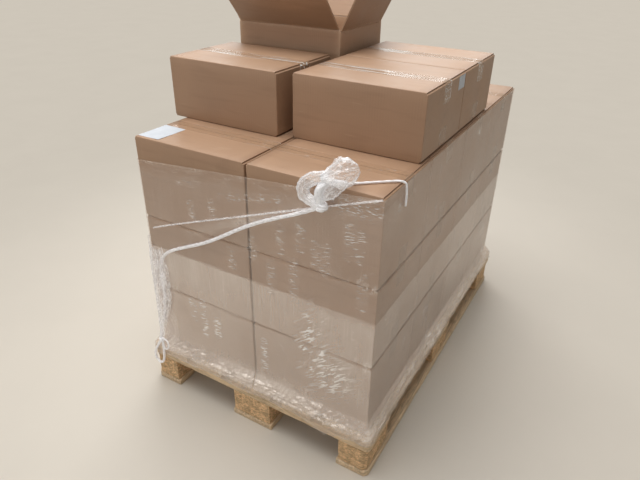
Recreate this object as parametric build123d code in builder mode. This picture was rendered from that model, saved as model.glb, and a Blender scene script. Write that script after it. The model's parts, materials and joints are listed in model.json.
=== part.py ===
from build123d import *
from math import cos, radians, sin, tan
import os

# A loaded wooden pallet: three tiers of closed cartons, a loose part tier on top with one open
# carton, and clear stretch film round the tiers. Millimetres, +Z up. The origin is on the floor,
# at the middle of the pallet. +X is to the right of someone who stands before the 800 mm end,
# and +Y runs along the pallet, away from them.

# Pallet
pallet_length = 1200
pallet_width = 800
wide_board = 145
narrow_board = 100
deck_thickness = 22
stringer_thickness = 22
bottom_thickness = 22
block_height = 78
block_side_inset = 5
corner_cut = 11
bottom_board_bevel = 6

# Closed cartons
carton_length = 369
carton_width = 283
carton_height = 238.8
low_carton_height = 171.8
board = 4
fold_radius = 3
corner_fold = 1.8
flap_setback = 4.5
seam_gap = 1.5
column_gap = 4
row_gap = 1
rows = 4
tiers = 3
load_middle_x = 9.4
load_front_margin = 20

# Clear tape over the seams
tape_width = 48
tape_thickness = 0.15
tape_play = 0.1
tape_leg = 55

# Part tier: how far the front cartons on the third tier stand back from the load's front, where
# the right column of them begins, and the spaces beside and behind the left ones
low_left_setback = 198.5
low_right_setback = 220
low_right_x = 4
low_left_space = 33.5
open_side_space = 20
open_front_space = 30.5

# Open carton's flaps, as tilts out of the vertical at rest
crease_gap = 0.3
flap_side_play = 1.5
flap_corner = 5
front_tilt = 41
back_tilt = 36
left_tilt = 31
right_tilt = 27

# Stretch film
film_gap = 0.3
film_thickness = 0.5
film_overlap_thickness = 0.3
film_overlap_top = 525
film_bottom = 119
film_flare_top = 192
film_top_at_middle = 826
film_top_slope = 0.083

# Film strands and knot
strand_diameter = 5
rope_diameter = 10
top_rope_diameter = 6.4
tail_diameter = 8
cord_play = 0.35
cord_sides = 8
knot_sides = 12
knot_radius = 13
knot_x = 238
knot_z = 812

# Paper
label_width = 74
label_depth = 105
label_thickness = 0.3
label_side_margin = 5.1
label_tape_space = 2
sticker_width = 50
sticker_height = 35
sticker_back_margin = 5
sticker_drop = 7

deck_top = bottom_thickness + block_height + stringer_thickness + deck_thickness
stack_gap = 2 * tape_thickness + tape_play
first_tier_z = deck_top + tape_thickness + tape_play
tier_pitch = carton_height + stack_gap
row_pitch = carton_width + row_gap
load_left = load_middle_x - column_gap / 2 - carton_length
load_right = load_middle_x + column_gap / 2 + carton_length
load_front_y = load_front_margin - pallet_length / 2
load_back = load_front_y + rows * row_pitch - row_gap
top_tier_z = first_tier_z + tiers * tier_pitch
load_top = top_tier_z - stack_gap
low_left_x = low_right_x - low_left_space - carton_length
low_left_y = load_front_y + low_left_setback
low_right_y = load_front_y + low_right_setback
open_x = low_right_x - open_side_space - carton_length
open_y = low_left_y + carton_width + open_front_space

os.makedirs("parts", exist_ok=True)


def save(builder, label):
    builder.part.label = label
    export_step(builder.part, "parts/" + label + ".step")


# Pallet

half_length = pallet_length / 2
half_width = pallet_width / 2
block_rows = [-half_length + wide_board / 2, 0, half_length - wide_board / 2]
row_names = ["front", "middle", "back"]
side_names = ["left", "centre", "right"]
outer_x = half_width - narrow_board / 2


def cut_corners(builder):
    """Cuts the upright edges that stand at the pallet's own corners."""
    corners = [
        edge
        for edge in builder.edges().filter_by(Axis.Z)
        if abs(abs(edge.center().X) - half_width) < 0.01 + block_side_inset
        and abs(abs(edge.center().Y) - half_length) < 0.01
    ]
    if corners:
        chamfer(corners, corner_cut)


def plank(label, width, length, thickness, x, y, z, along_x=False):
    """One sawn board, lying flat, with its middle at x, y and its underside at z."""
    size = (length, width) if along_x else (width, length)
    with BuildPart() as piece:
        with BuildSketch(Plane.XY.offset(z)):
            with Locations((x, y)):
                Rectangle(*size)
        extrude(amount=thickness)
        cut_corners(piece)
    save(piece, label)


stringer_z = bottom_thickness + block_height
deck_z = stringer_z + stringer_thickness
inner_deck_x = (half_width - wide_board + wide_board / 2) / 2
deck_boards = [
    (wide_board, -half_width + wide_board / 2),
    (narrow_board, -inner_deck_x),
    (wide_board, 0),
    (narrow_board, inner_deck_x),
    (wide_board, half_width - wide_board / 2),
]
for number, (width, x) in enumerate(deck_boards, start=1):
    plank(f"deck_board_{number}", width, pallet_length, deck_thickness, x, 0, deck_z)

for row, y in zip(row_names, block_rows):
    plank(f"stringer_{row}", wide_board, pallet_width, stringer_thickness, 0, y, stringer_z, along_x=True)

foot_columns = [(-outer_x, narrow_board), (0, wide_board), (outer_x, narrow_board)]
for side, (x, width) in zip(side_names, foot_columns):
    for row, y in zip(row_names, block_rows):
        with BuildPart() as block:
            with BuildSketch(Plane.XY.offset(bottom_thickness)):
                with Locations((x, y)):
                    Rectangle(width - 2 * block_side_inset, wide_board)
            extrude(amount=block_height)
            cut_corners(block)
        save(block, f"block_{row}_{side}")
    with BuildPart() as bottom_board:
        with BuildSketch():
            with Locations((x, 0)):
                Rectangle(width, pallet_length)
        extrude(amount=bottom_thickness)
        cut_corners(bottom_board)
        top_edges = bottom_board.faces().sort_by(Axis.Z)[-1].edges().filter_by(Axis.X)
        chamfer(top_edges, bottom_board_bevel)
    save(bottom_board, f"bottom_board_{side}")


# Closed cartons

def closed_carton(height):
    """A closed carton with its bottom's middle at the origin: folds rounded, the outer flaps' ends
    set back from the end panels, and a seam between the outer flaps, above and below."""
    with BuildPart() as carton:
        with BuildSketch() as plan:
            Rectangle(carton_length, carton_width)
            chamfer(plan.vertices(), corner_fold)
        extrude(amount=height)
        with BuildSketch(Plane.YZ.offset(-carton_length / 2)):
            with Locations((0, height / 2)):
                RectangleRounded(carton_width, height, fold_radius)
        extrude(amount=carton_length, mode=Mode.INTERSECT)
        with BuildSketch(Plane.XZ.offset(-carton_width / 2)):
            with Locations((0, height / 2)):
                with GridLocations(carton_length - flap_setback, height - board, 2, 2):
                    Rectangle(flap_setback, board)
        extrude(amount=carton_width, mode=Mode.SUBTRACT)
        with BuildSketch(Plane.YZ.offset(-carton_length / 2)):
            with Locations((0, height / 2)):
                with GridLocations(1, height - board, 1, 2):
                    Rectangle(seam_gap, board)
        extrude(amount=carton_length, mode=Mode.SUBTRACT)
    return carton


def place_carton(master, label, left, front, z):
    """One copy of a closed carton, by its front left corner and the height that it stands at."""
    with BuildPart() as carton:
        with Locations((left + carton_length / 2, front + carton_width / 2, z)):
            add(master.part)
    save(carton, label)


full_carton = closed_carton(carton_height)
low_carton = closed_carton(low_carton_height)
column_left = {"left": load_left, "right": load_middle_x + column_gap / 2}
taped = []
for tier in range(tiers):
    z = first_tier_z + tier * tier_pitch
    for row in range(rows):
        front = load_front_y + row * row_pitch
        for column, left in column_left.items():
            place_carton(full_carton, f"carton_tier{tier + 1}_row{row + 1}_{column}", left, front, z)
            taped.append((left, front, z, carton_height))

low_cartons = {
    "low_carton_left": (low_left_x, low_left_y),
    "low_carton_right_front": (low_right_x, low_right_y),
    "low_carton_right_back": (low_right_x, low_right_y + row_pitch),
}
for label, (left, front) in low_cartons.items():
    place_carton(low_carton, label, left, front, top_tier_z)
    taped.append((left, front, top_tier_z, low_carton_height))


# Open carton: a hollow body whose bottom flaps are closed, and four flaps on their creases

wall_top = carton_height - board - crease_gap
low_wall_top = wall_top - board - crease_gap
crease_rise = crease_gap + board / 2
open_middle = Location((open_x + carton_length / 2, open_y + carton_width / 2, top_tier_z))
inner_length = carton_length - 2 * board
inner_width = carton_width - 2 * board
flap_reach = carton_width / 2 - board / 2 - seam_gap / 2

with BuildPart() as open_body:
    with BuildSketch() as open_plan:
        Rectangle(carton_length, carton_width)
        chamfer(open_plan.vertices(), corner_fold)
    extrude(amount=wall_top)
    with BuildSketch(Plane.XY.offset(board)):
        Rectangle(inner_length, inner_width)
    extrude(amount=wall_top, mode=Mode.SUBTRACT)
    # the inner pair of bottom flaps, on the outer pair
    with BuildSketch(Plane.XY.offset(board)):
        with GridLocations(inner_length - flap_reach, 1, 2, 1):
            Rectangle(flap_reach, inner_width)
    extrude(amount=board)
    # the end panels stop lower, and every free edge is pressed round
    with BuildSketch(Plane.XZ.offset(-carton_width / 2)):
        with Locations((0, (wall_top + low_wall_top) / 2)):
            with GridLocations(carton_length - board, 1, 2, 1):
                Rectangle(board, wall_top - low_wall_top)
    extrude(amount=carton_width, mode=Mode.SUBTRACT)
    # the seam of the outer bottom flaps, and their ends set back from the end panels
    with BuildSketch(Plane.YZ.offset(-carton_length / 2)):
        with Locations((0, board / 4)):
            Rectangle(seam_gap, board / 2)
    extrude(amount=carton_length, mode=Mode.SUBTRACT)
    rims = [
        edge
        for edge in open_body.edges().filter_by(GeomType.LINE)
        if edge.length > inner_width - 1
        and min(abs(edge.center().Z - wall_top), abs(edge.center().Z - low_wall_top)) < 0.01
    ]
    fillet(rims, board / 2 - 0.1)

with BuildPart() as open_carton:
    with Locations(open_middle):
        add(open_body.part)
save(open_carton, "open_carton")


def flap(label, crease, outward, tilt, width):
    """A flap that leans outward by tilt degrees from the vertical. Its root is round, about the
    crease's middle point, so that it turns there without reaching the wall under it."""
    lean = radians(tilt)
    along = Vector(outward.X * sin(lean), outward.Y * sin(lean), cos(lean))
    axis = Vector(-outward.Y, outward.X, 0)
    with BuildPart() as piece:
        with BuildSketch(Plane(origin=crease, x_dir=along, z_dir=axis)):
            Circle(board / 2)
            Rectangle(flap_reach, board, align=(Align.MIN, Align.CENTER))
        extrude(amount=width / 2, both=True)
        free_end = piece.edges().filter_by(lambda edge: abs(edge.length - board) < 0.01)
        fillet(free_end, flap_corner)
    save(piece, label)


open_centre_x = open_x + carton_length / 2
open_centre_y = open_y + carton_width / 2
high_crease_z = top_tier_z + wall_top + crease_rise
low_crease_z = top_tier_z + low_wall_top + crease_rise
long_flap = inner_length - 2 * flap_side_play
short_flap = inner_width - 2 * flap_side_play
half_span_x = carton_length / 2 - board / 2
half_span_y = carton_width / 2 - board / 2
flap("flap_front", (open_centre_x, open_centre_y - half_span_y, high_crease_z),
     Vector(0, -1, 0), front_tilt, long_flap)
flap("flap_back", (open_centre_x, open_centre_y + half_span_y, high_crease_z),
     Vector(0, 1, 0), back_tilt, long_flap)
flap("flap_left", (open_centre_x - half_span_x, open_centre_y, low_crease_z),
     Vector(-1, 0, 0), left_tilt, short_flap)
flap("flap_right", (open_centre_x + half_span_x, open_centre_y, low_crease_z),
     Vector(1, 0, 0), right_tilt, short_flap)


# Clear tape: one strip over each carton's upper seam and one under its lower seam, turned down at
# both ends

with BuildPart() as tape_strip:
    with BuildSketch(Plane.XZ.offset(-tape_width / 2)):
        with Locations((0, (tape_thickness - tape_leg) / 2)):
            Rectangle(carton_length + 2 * tape_thickness, tape_leg + tape_thickness)
        with Locations((0, -tape_leg / 2)):
            Rectangle(carton_length, tape_leg, mode=Mode.SUBTRACT)
    extrude(amount=tape_width)

strip_places = []
for left, front, z, height in taped:
    middle = (left + carton_length / 2, front + carton_width / 2)
    strip_places.append(Location((*middle, z + height)))
    strip_places.append(Location((*middle, z), (180, 0, 0)))
with BuildPart() as carton_tape:
    with Locations(*strip_places):
        add(tape_strip.part)
save(carton_tape, "carton_tape")


# Stretch film: a sleeve close to the cartons, which flares out over the deck's edge

load_centre_x = (load_left + load_right) / 2
load_centre_y = (load_front_y + load_back) / 2


def wrap_core(grow, base, top):
    """The space inside a wrap that stands off the load and the deck by grow, from base to top. Its
    upright edges are cut off as the cartons' and the deck's are."""
    around_load = (load_right - load_left, load_back - load_front_y, corner_fold)
    around_deck = (pallet_width, pallet_length, corner_cut)
    middle = (load_centre_x, load_centre_y)

    def outline(height, plan, centre):
        """The wrap's outline at that height, round that plan."""
        size_x, size_y, corner = plan
        with BuildSketch(Plane.XY.offset(height)) as shape:
            with Locations(centre):
                Rectangle(size_x + 2 * grow, size_y + 2 * grow)
            chamfer(shape.vertices(), corner + grow)
        return shape.sketch

    with BuildPart() as core:
        add(outline(film_flare_top, around_load, middle))
        extrude(amount=top - film_flare_top)
        add(outline(base, around_deck, (0, 0)))
        extrude(amount=deck_top + grow - base)
        loft(
            [
                outline(deck_top + grow, around_deck, (0, 0)).face(),
                outline(film_flare_top, around_load, middle).face(),
            ],
            ruled=True,
        )
    return core.part


film_outer = film_gap + film_thickness
film_double = film_outer + film_overlap_thickness
with BuildPart() as stretch_film:
    add(wrap_core(film_outer, film_bottom, load_top))
    add(wrap_core(film_double, film_bottom, film_overlap_top))
    add(wrap_core(film_gap, film_bottom - 1, load_top + 1), mode=Mode.SUBTRACT)
    slope = Plane(origin=(0, 0, film_top_at_middle), z_dir=(-film_top_slope, 0, 1))
    split(bisect_by=slope, keep=Keep.BOTTOM)
save(stretch_film, "stretch_film")


# Film strands: each is a round cord on a route of straight runs and round arcs

def bunch(base, leaning, radius, length, foot, crown):
    """A many-sided form about a leaning axis that starts at base. Both ends narrow by flats: foot
    and crown give how far those reach along the axis, and how far in."""
    ends = Axis(base, leaning)
    with BuildPart() as piece:
        with BuildSketch(Plane(origin=base, z_dir=leaning)):
            RegularPolygon(radius, knot_sides)
        extrude(amount=length)
        for place, (reach, depth) in ((0, foot), (-1, crown)):
            end = piece.faces().sort_by(ends)[place]
            chamfer(end.edges(), length=depth, length2=reach, reference=end)
    return piece.part


def cord(label, points, diameter, tight=None, knot=None):
    """A tube along points. The radius at each corner comes from its shorter run and its turn, or
    from tight, which gives the radius of a corner by its number. A knot is a lump that both ends
    of a loop go into, given by its foot and radius."""
    places = [Vector(*point) for point in points]
    radii = []
    for before, corner, after in zip(places, places[1:], places[2:]):
        turn = radians((corner - before).get_angle(after - corner))
        run = min((corner - before).length, (after - corner).length)
        radii.append(0.45 * run / tan(turn / 2))
    for corner, radius in (tight or {}).items():
        radii[corner - 1] = radius
    with BuildPart() as tube:
        with BuildLine() as route:
            FilletPolyline(*places, radius=radii)
        path = route.wires()[0]
        with BuildSketch(Plane(origin=path @ 0, z_dir=path % 0)):
            RegularPolygon(diameter / 2, cord_sides)
        sweep()
        if knot:
            base, radius = knot
            narrow = (radius * 2 / 3, radius / 2)
            add(bunch(base, (0, 0, 1), radius, 2 * radius, narrow, narrow))
    save(tube, label)


face_y = load_front_y - film_double
strand_y = face_y - cord_play - strand_diameter / 2
rope_y = face_y - cord_play - rope_diameter / 2
cord("film_strand", [
    (-334, strand_y, 590), (-262, strand_y - 1, 621), (-20, strand_y, 710),
    (knot_x, strand_y, knot_z - 4), (376, strand_y, 857),
], strand_diameter)

knot_y = strand_y - strand_diameter / 2 - cord_play - knot_radius
skirt_y = -half_length - film_double - cord_play - rope_diameter / 2
tail_knot_y = skirt_y + 2
tail_knot_z = 182
tail_knot_radius = 9
rope_start_z = tail_knot_z + tail_knot_radius + cord_play + 0.5
cord("film_rope", [
    (-355, tail_knot_y, rope_start_z), (-352, rope_y - 9, 226), (-344, rope_y - 3, 262),
    (-334, rope_y - 1, 306), (-328, rope_y, 356), (-329, rope_y, 408), (-328, rope_y, 458),
    (-311, rope_y, 502), (-274, rope_y - 1, 533), (-215, rope_y, 562),
    (-135, rope_y, 600), (-60, rope_y, 648), (15, rope_y, 697), (95, rope_y - 3, 740),
    (165, rope_y - 6, 772), (knot_x - knot_radius - 1, rope_y - 7, knot_z - 8),
], rope_diameter)

# over the top from behind the knot's neck, round the right edge and down to the film there
top_rope_z = load_top + tape_thickness + cord_play + top_rope_diameter / 2
side_x = load_right + film_outer + cord_play + top_rope_diameter / 2
neck_y = knot_y - 1
neck_radius = 11
neck_top_z = load_top + 22
cord("film_top_rope", [
    (knot_x + 12, neck_y + neck_radius + 2, top_rope_z), (298, -547, top_rope_z),
    (348, -503, top_rope_z), (side_x - 1, -478, top_rope_z + 1), (side_x + 1, -471, load_top - 19),
    (side_x, -468, load_top - 62),
], top_rope_diameter, tight={3: 9})

# the loose end at the front left corner: a small knot below the rope, and a loop that hangs from it
tail_y = skirt_y - 2
cord("film_tail", [
    (-358, tail_knot_y, 175), (-371, tail_y + 2, 151), (-387, tail_y, 124), (-391, tail_y, 99),
    (-381, tail_y, 80), (-363, tail_y, 78), (-351, tail_y, 99), (-348, tail_y + 2, 136),
    (-350, tail_knot_y, 175),
], tail_diameter, knot=((-353, tail_knot_y, tail_knot_z - tail_knot_radius), tail_knot_radius))


# The knot with its neck, a curled loop of film at its left, and the bunch that leans back over the
# top edge

knot_low = 13
knot_long = 24
curl_radius = 28
curl_bore = 8
curl_depth = 24
curl = Plane(origin=(knot_x - 27, knot_y - curl_depth / 2, knot_z + 40), z_dir=(0, 1, 0))
with BuildPart() as film_knot:
    add(bunch((knot_x, knot_y, knot_z - knot_low), (0, 0, 1), knot_radius, knot_long, (6, 8), (6, 3)))
    add(bunch((knot_x, knot_y, knot_z), (0, 0, 1), neck_radius, neck_top_z - knot_z, (1, 1), (4, 3)))
    add(bunch(tuple(curl.origin), (0, 1, 0), curl_radius, curl_depth, (6, 6), (6, 6)))
    with BuildSketch(curl):
        RegularPolygon(curl_bore, knot_sides)
    extrude(amount=curl_depth, mode=Mode.SUBTRACT)
    add(bunch((knot_x + 3, knot_y, neck_top_z - 8), (42, 52, 40), 27, 86, (45, 17), (28, 18)))
save(film_knot, "film_knot")


# Paper: a label beside the tape of the front left carton, and a sticker on a low carton's end

label_x = load_left + label_side_margin + label_width / 2
label_y = load_front_y + (carton_width - tape_width - label_depth) / 2 - label_tape_space
sticker_y = low_right_y + carton_width - sticker_back_margin - sticker_width / 2
sticker_z = top_tier_z + low_carton_height - sticker_drop - sticker_height / 2
with BuildPart() as paper_labels:
    with BuildSketch(Plane.XY.offset(load_top)):
        with Locations((label_x, label_y)):
            Rectangle(label_width, label_depth)
    extrude(amount=label_thickness)
    with BuildSketch(Plane.YZ.offset(low_right_x + carton_length)):
        with Locations((sticker_y, sticker_z)):
            Rectangle(sticker_width, sticker_height)
    extrude(amount=label_thickness)
save(paper_labels, "paper_labels")
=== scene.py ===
import json
from math import cos, pi, radians, sin, tau

import bpy
import numpy as np
from bpy.props import FloatProperty, FloatVectorProperty, IntProperty, PointerProperty
from mathutils import Matrix, Vector

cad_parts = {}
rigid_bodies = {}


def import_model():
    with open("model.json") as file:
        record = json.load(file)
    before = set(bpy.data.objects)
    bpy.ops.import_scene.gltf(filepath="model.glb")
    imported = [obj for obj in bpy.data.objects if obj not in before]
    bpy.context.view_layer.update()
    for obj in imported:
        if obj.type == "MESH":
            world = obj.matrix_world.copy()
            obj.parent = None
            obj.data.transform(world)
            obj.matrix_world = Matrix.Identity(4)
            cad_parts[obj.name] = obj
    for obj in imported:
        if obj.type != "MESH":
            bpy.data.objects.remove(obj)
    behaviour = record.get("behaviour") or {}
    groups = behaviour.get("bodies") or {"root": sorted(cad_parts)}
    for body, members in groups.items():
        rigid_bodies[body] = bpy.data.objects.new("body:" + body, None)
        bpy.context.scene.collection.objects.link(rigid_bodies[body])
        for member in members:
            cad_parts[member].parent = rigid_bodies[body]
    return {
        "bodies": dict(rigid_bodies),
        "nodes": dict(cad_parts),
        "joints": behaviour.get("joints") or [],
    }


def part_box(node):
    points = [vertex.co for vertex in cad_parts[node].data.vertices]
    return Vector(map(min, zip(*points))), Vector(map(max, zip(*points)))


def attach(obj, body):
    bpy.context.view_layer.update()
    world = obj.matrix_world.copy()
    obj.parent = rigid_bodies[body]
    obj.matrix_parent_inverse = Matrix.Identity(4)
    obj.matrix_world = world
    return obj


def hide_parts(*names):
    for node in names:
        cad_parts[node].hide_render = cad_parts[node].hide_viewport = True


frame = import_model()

# A pallet of cartons in clear stretch film, dressed round its solids. Metres, +Z up. The wrapped
# end that the camera sees is at -Y, and +X is to its right.

bl_info = {
    "name": "Wrapped pallet load",
    "version": (1, 0, 0),
    "blender": (4, 5, 0),
    "location": "View3D > Sidebar > Pallet load",
    "description": "Worn boards, cartons, tape, labels and stretch film for a loaded pallet",
    "category": "Object",
}

MM = 0.001
CORNER_CUT = 11 * MM


def paint(red, green, blue):
    """A screen colour, 0 to 255 each, as linear light, with the usual curve of 2.4."""
    share = np.array([red, green, blue]) / 255
    return tuple(np.where(share <= 0.04045, share / 12.92, ((share + 0.055) / 1.055) ** 2.4))


def length(name, description, default):
    return FloatProperty(
        name=name, description=description, default=default, subtype="DISTANCE", unit="LENGTH"
    )


def colour(name, description, *screen):
    return FloatVectorProperty(
        name=name, description=description, default=paint(*screen), subtype="COLOR", min=0, max=1, size=3
    )


class LoadSizes(bpy.types.PropertyGroup):
    """Sizes of what is laid on the solids"""

    board: length("Board", "Thickness of the corrugated board", 4 * MM)
    flute_pitch: length("Flute pitch", "From one flute of the board to the next", 7.3 * MM)
    fold_radius: length("Fold radius", "Roundness of the cartons' folded edges", 2.4 * MM)
    flap_setback: length("Flap setback", "Outer flaps end this far from the end panels", 4.5 * MM)
    seam_gap: length("Seam gap", "Between the two outer flaps", 1.5 * MM)
    wall_recess: length("Wall recess", "Corners of a carton stand back this far from its bulge", 0.6 * MM)
    lid_sag: length("Lid sag", "How far a closed lid sinks at its middle", 1.1 * MM)
    tape_width: length("Tape width", "Width of the clear tape", 48 * MM)
    tape_leg: length("Tape leg", "How far the tape runs down the end panels", 55 * MM)
    flap_bend: FloatProperty(
        name="Flap bend", description="How much the open flaps curl back", default=radians(3),
        subtype="ANGLE", unit="ROTATION",
    )
    edge_wear: length("Edge wear", "Deepest chips at the edges of the pallet's boards", 1.7 * MM)
    nail_radius: length("Nail radius", "Radius of the pallet's nail heads", 4.2 * MM)
    film_columns: IntProperty(name="Film columns", description="Columns on the front", default=212)
    film_rows: IntProperty(name="Film rows", description="Rows of film above the deck", default=96)
    film_hang: length("Film hang", "How far the torn hem reaches below its middle height", 34 * MM)
    wrinkle: length("Wrinkle", "Height of the film's large wrinkles", 4.5 * MM)
    lens: FloatProperty(name="Lens", description="Focal length on a 36 mm sensor", default=30.617)


class LoadColours(bpy.types.PropertyGroup):
    """Colours of the load's materials"""

    kraft: colour("Kraft", "Plain brown liner", 166, 133, 106)
    # kraft_worn also paints light on the open carton's inside.
    kraft_worn: colour("Worn kraft", "Lifted fibres on folds", 198, 169, 141)
    # kraft_dark also paints shade in the seams, at the flaps' ends and in the flaps' slots.
    kraft_dark: colour("Dark kraft", "Rubbed and damp marks", 128, 96, 73)
    wood: colour("Wood", "Sawn softwood", 222, 195, 158)
    wood_dark: colour("Wood grain", "Late wood, dirt and weather", 128, 98, 68)
    chips: colour("Chips", "Pressed chips", 228, 191, 145)
    chips_dark: colour("Dark chips", "Gaps between the chips", 152, 112, 72)
    film: colour("Film", "Where the film turns white", 254, 242, 232)
    rope_film: colour("Gathered film", "Film pulled into cords", 252, 251, 252)
    tape: colour("Tape", "Clear tape on board", 206, 172, 138)
    paper: colour("Paper", "Plain label paper", 200, 205, 211)
    steel: colour("Steel", "Nail heads", 92, 80, 70)
    rust: colour("Rust", "Rust on the nail heads", 112, 62, 38)
    floor: colour("Floor", "Pale floor", 206, 198, 185)


# Shapes


def smooth_noise(points, cell, seed):
    """Smooth noise from -1 to 1. Random values on a lattice of that cell, one for each axis or the
    same for all, are blended by 3t^2 - 2t^3 between the eight around each point."""
    lattice = np.random.default_rng(seed).uniform(-1, 1, (32, 32, 32))
    scaled = np.asarray(points, float) / np.asarray(cell, float) + 64
    low = np.floor(scaled).astype(int)
    step = smooth_step(scaled - low, 0, 1)
    total = np.zeros(scaled.shape[:-1])
    for corner in np.ndindex(2, 2, 2):
        index = (low + corner) % 32
        weight = np.where(corner, step, 1 - step).prod(-1)
        total += weight * lattice[index[..., 0], index[..., 1], index[..., 2]]
    return total


def ridges(points, cell, seed):
    """Sharp crests from 0 to 1: one less the size of smooth noise, cubed."""
    return (1 - np.abs(smooth_noise(points, cell, seed))) ** 3


def bell(distance, width):
    """A bell from 1 at no distance towards 0, exp of minus the square of distance over width."""
    return np.exp(-((np.asarray(distance) / width) ** 2))


def smooth_step(value, low, high):
    """A rise from 0 at low to 1 at high, by 3t^2 - 2t^3 of the share of the way."""
    share = np.clip((np.asarray(value, float) - low) / (high - low), 0, 1)
    return share * share * (3 - 2 * share)


def span(value, start, full, fading, end):
    """A rise from 0 at start to 1 when full, and a fall from fading to 0 at the end."""
    return smooth_step(value, start, full) * (1 - smooth_step(value, fading, end))


def joined(*parts):
    """Numbers or arrays that spread to one shape, side by side as the axes of points."""
    return np.stack(np.broadcast_arrays(*parts), -1).astype(float)


def unit(vectors):
    """The vectors, each with a length of 1."""
    return vectors / np.linalg.norm(vectors, axis=-1, keepdims=True)


class Skin:
    """Collects the surfaces of one piece and makes its mesh. Each surface is an array of points,
    with a UV map in metres and marks: numbers at its points that the materials read."""

    def __init__(self, name, *marks):
        self.name = name
        self.points, self.uvs, self.faces = [], [], []
        self.marks = {mark: [] for mark in marks}
        self.count = 0

    def add(self, points, faces, uv=None, **marks):
        """Points that come after the given UVs and marks lie at the mean UV and have no marks."""
        points = points.reshape(-1, 3)
        uv = np.zeros((len(points), 2)) if uv is None else uv.reshape(-1, 2)
        more = np.repeat(uv.mean(0)[None], len(points) - len(uv), 0)
        self.points.append(points)
        self.uvs.append(np.concatenate([uv, more]))
        for mark, values in self.marks.items():
            given = np.asarray(marks.get(mark, 0.0), float)
            given = given.ravel() if given.ndim else np.full(len(points), given)
            values.append(np.pad(given, (0, len(points) - len(given))))
        for part in faces:
            self.faces += (part + self.count).tolist()
        self.count += len(points)

    def grid(self, points, around=False, **more):
        """An open surface on rows and columns of points, or a sleeve when it closes around."""
        rows, columns = points.shape[:2]
        self.add(points, [quads(rows, columns, around)], **more)

    def rings(self, points, **more):
        """A closed form: rings of points along a path, with a fan at both ends. A form that comes
        out with its faces turned inwards, by its signed volume, has them turned round."""
        rows, columns = points.shape[:2]
        last = rows * columns
        turn = np.arange(columns)
        following = (turn + 1) % columns
        start = np.stack([np.full(columns, last), following, turn], -1)
        top = (rows - 1) * columns
        end = np.stack([np.full(columns, last + 1), top + turn, top + following], -1)
        walls = quads(rows, columns, True)
        every = np.concatenate([points.reshape(-1, 3), [points[0].mean(0), points[-1].mean(0)]])
        halves = np.concatenate([walls[:, [0, 1, 2]], walls[:, [0, 2, 3]], start, end])
        a, b, c = (every[halves[:, k]] for k in range(3))
        if np.einsum("ij,ij->i", a, np.cross(b, c)).sum() < 0:
            walls, start, end = walls[:, ::-1], start[:, ::-1], end[:, ::-1]
        self.add(every, [walls, start, end], **more)

    def make(self, material, sharp=None):
        """The mesh as an object. Edges that turn by more than sharp degrees stay sharp."""
        mesh = bpy.data.meshes.new(self.name)
        mesh.from_pydata(np.concatenate(self.points).tolist(), [], self.faces)
        mesh.polygons.foreach_set("use_smooth", np.ones(len(mesh.polygons), bool))
        for mark, values in self.marks.items():
            attribute = mesh.attributes.new(mark, "FLOAT", "POINT")
            attribute.data.foreach_set("value", np.concatenate(values).astype(np.float32))
        corners = np.empty(len(mesh.loops), np.int32)
        mesh.loops.foreach_get("vertex_index", corners)
        layer = mesh.uv_layers.new(name="UVMap")
        layer.data.foreach_set("uv", np.concatenate(self.uvs)[corners].astype(np.float32).ravel())
        mesh.materials.append(material)
        if sharp:
            mesh.set_sharp_from_angle(angle=radians(sharp))
        mesh.update()
        piece = bpy.data.objects.new(self.name, mesh)
        bpy.context.scene.collection.objects.link(piece)
        return piece

    def dress(self, material, body, slot, node=None, sharp=None):
        """The piece made, riding its body, and in the place of its solid if it has one. Its slot is not
        used.
        """
        piece = self.make(material, sharp)
        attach(piece, body)
        if node:
            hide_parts(node)
        return piece


def quads(rows, columns, around):
    """The four corners of each cell between neighbouring rows and columns."""
    row, column = np.meshgrid(
        np.arange(rows - 1), np.arange(columns if around else columns - 1), indexing="ij"
    )
    here = (row * columns + column).ravel()
    beside = (row * columns + (column + 1) % columns).ravel()
    return np.stack([here, beside, beside + columns, here + columns], -1)


def spread(low, high, step):
    """Even places from low to high, about a step apart, both ends included."""
    return np.linspace(low, high, max(2, int(round((high - low) / step)) + 1))


def boxed_outline(width, height, radius, step, notch=0.0, corner_points=4):
    """A rounded rectangle's outline, counter-clockwise from its lower right corner, as points,
    outward directions and whether each lies in a notch at the middle of the top or the bottom."""
    half = np.array([width, height]) / 2
    across = spread(radius - half[0], half[0] - radius, step)[1:-1]
    if notch:
        lips = np.array([-1.25, -0.75, 0.75, 1.25]) * notch / 1.5
        across = np.sort(np.concatenate([across[np.abs(across) > notch], lips]))
    up = spread(radius - half[1], half[1] - radius, step)[1:-1]
    points, ways = [], []
    for quarter, corner in enumerate([(1, -1), (1, 1), (-1, 1), (-1, -1)]):
        angle = (quarter - 1) * pi / 2 + np.linspace(0, pi / 2, corner_points)
        way = joined(np.cos(angle), np.sin(angle))
        facing = np.array([(1, 0), (0, 1), (-1, 0), (0, -1)][quarter])
        straight = (up, across[::-1], up[::-1], across)[quarter]
        side = facing * half
        points += [corner * (half - radius) + radius * way]
        points += [joined(side[0], straight) if quarter % 2 == 0 else joined(straight, side[1])]
        ways += [way, np.repeat(facing[None].astype(float), len(straight), 0)]
    points, ways = np.concatenate(points), np.concatenate(ways)
    notched = (np.abs(points[:, 0]) < notch / 1.5) & (np.abs(ways[:, 1]) > 0.9)
    return points, ways, notched


def turns(count):
    """Angles once round, evenly apart."""
    return np.arange(count) / count * tau


def arc_length(outline):
    """How far along an outline or a line each of its points lies."""
    steps = np.linalg.norm(np.diff(outline, axis=0), axis=1)
    return np.concatenate([[0], np.cumsum(steps)])


def points_of(mesh):
    """A mesh's vertices, as rows of x, y and z."""
    flat = np.empty(len(mesh.vertices) * 3)
    mesh.vertices.foreach_get("co", flat)
    return flat.reshape(-1, 3)


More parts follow.
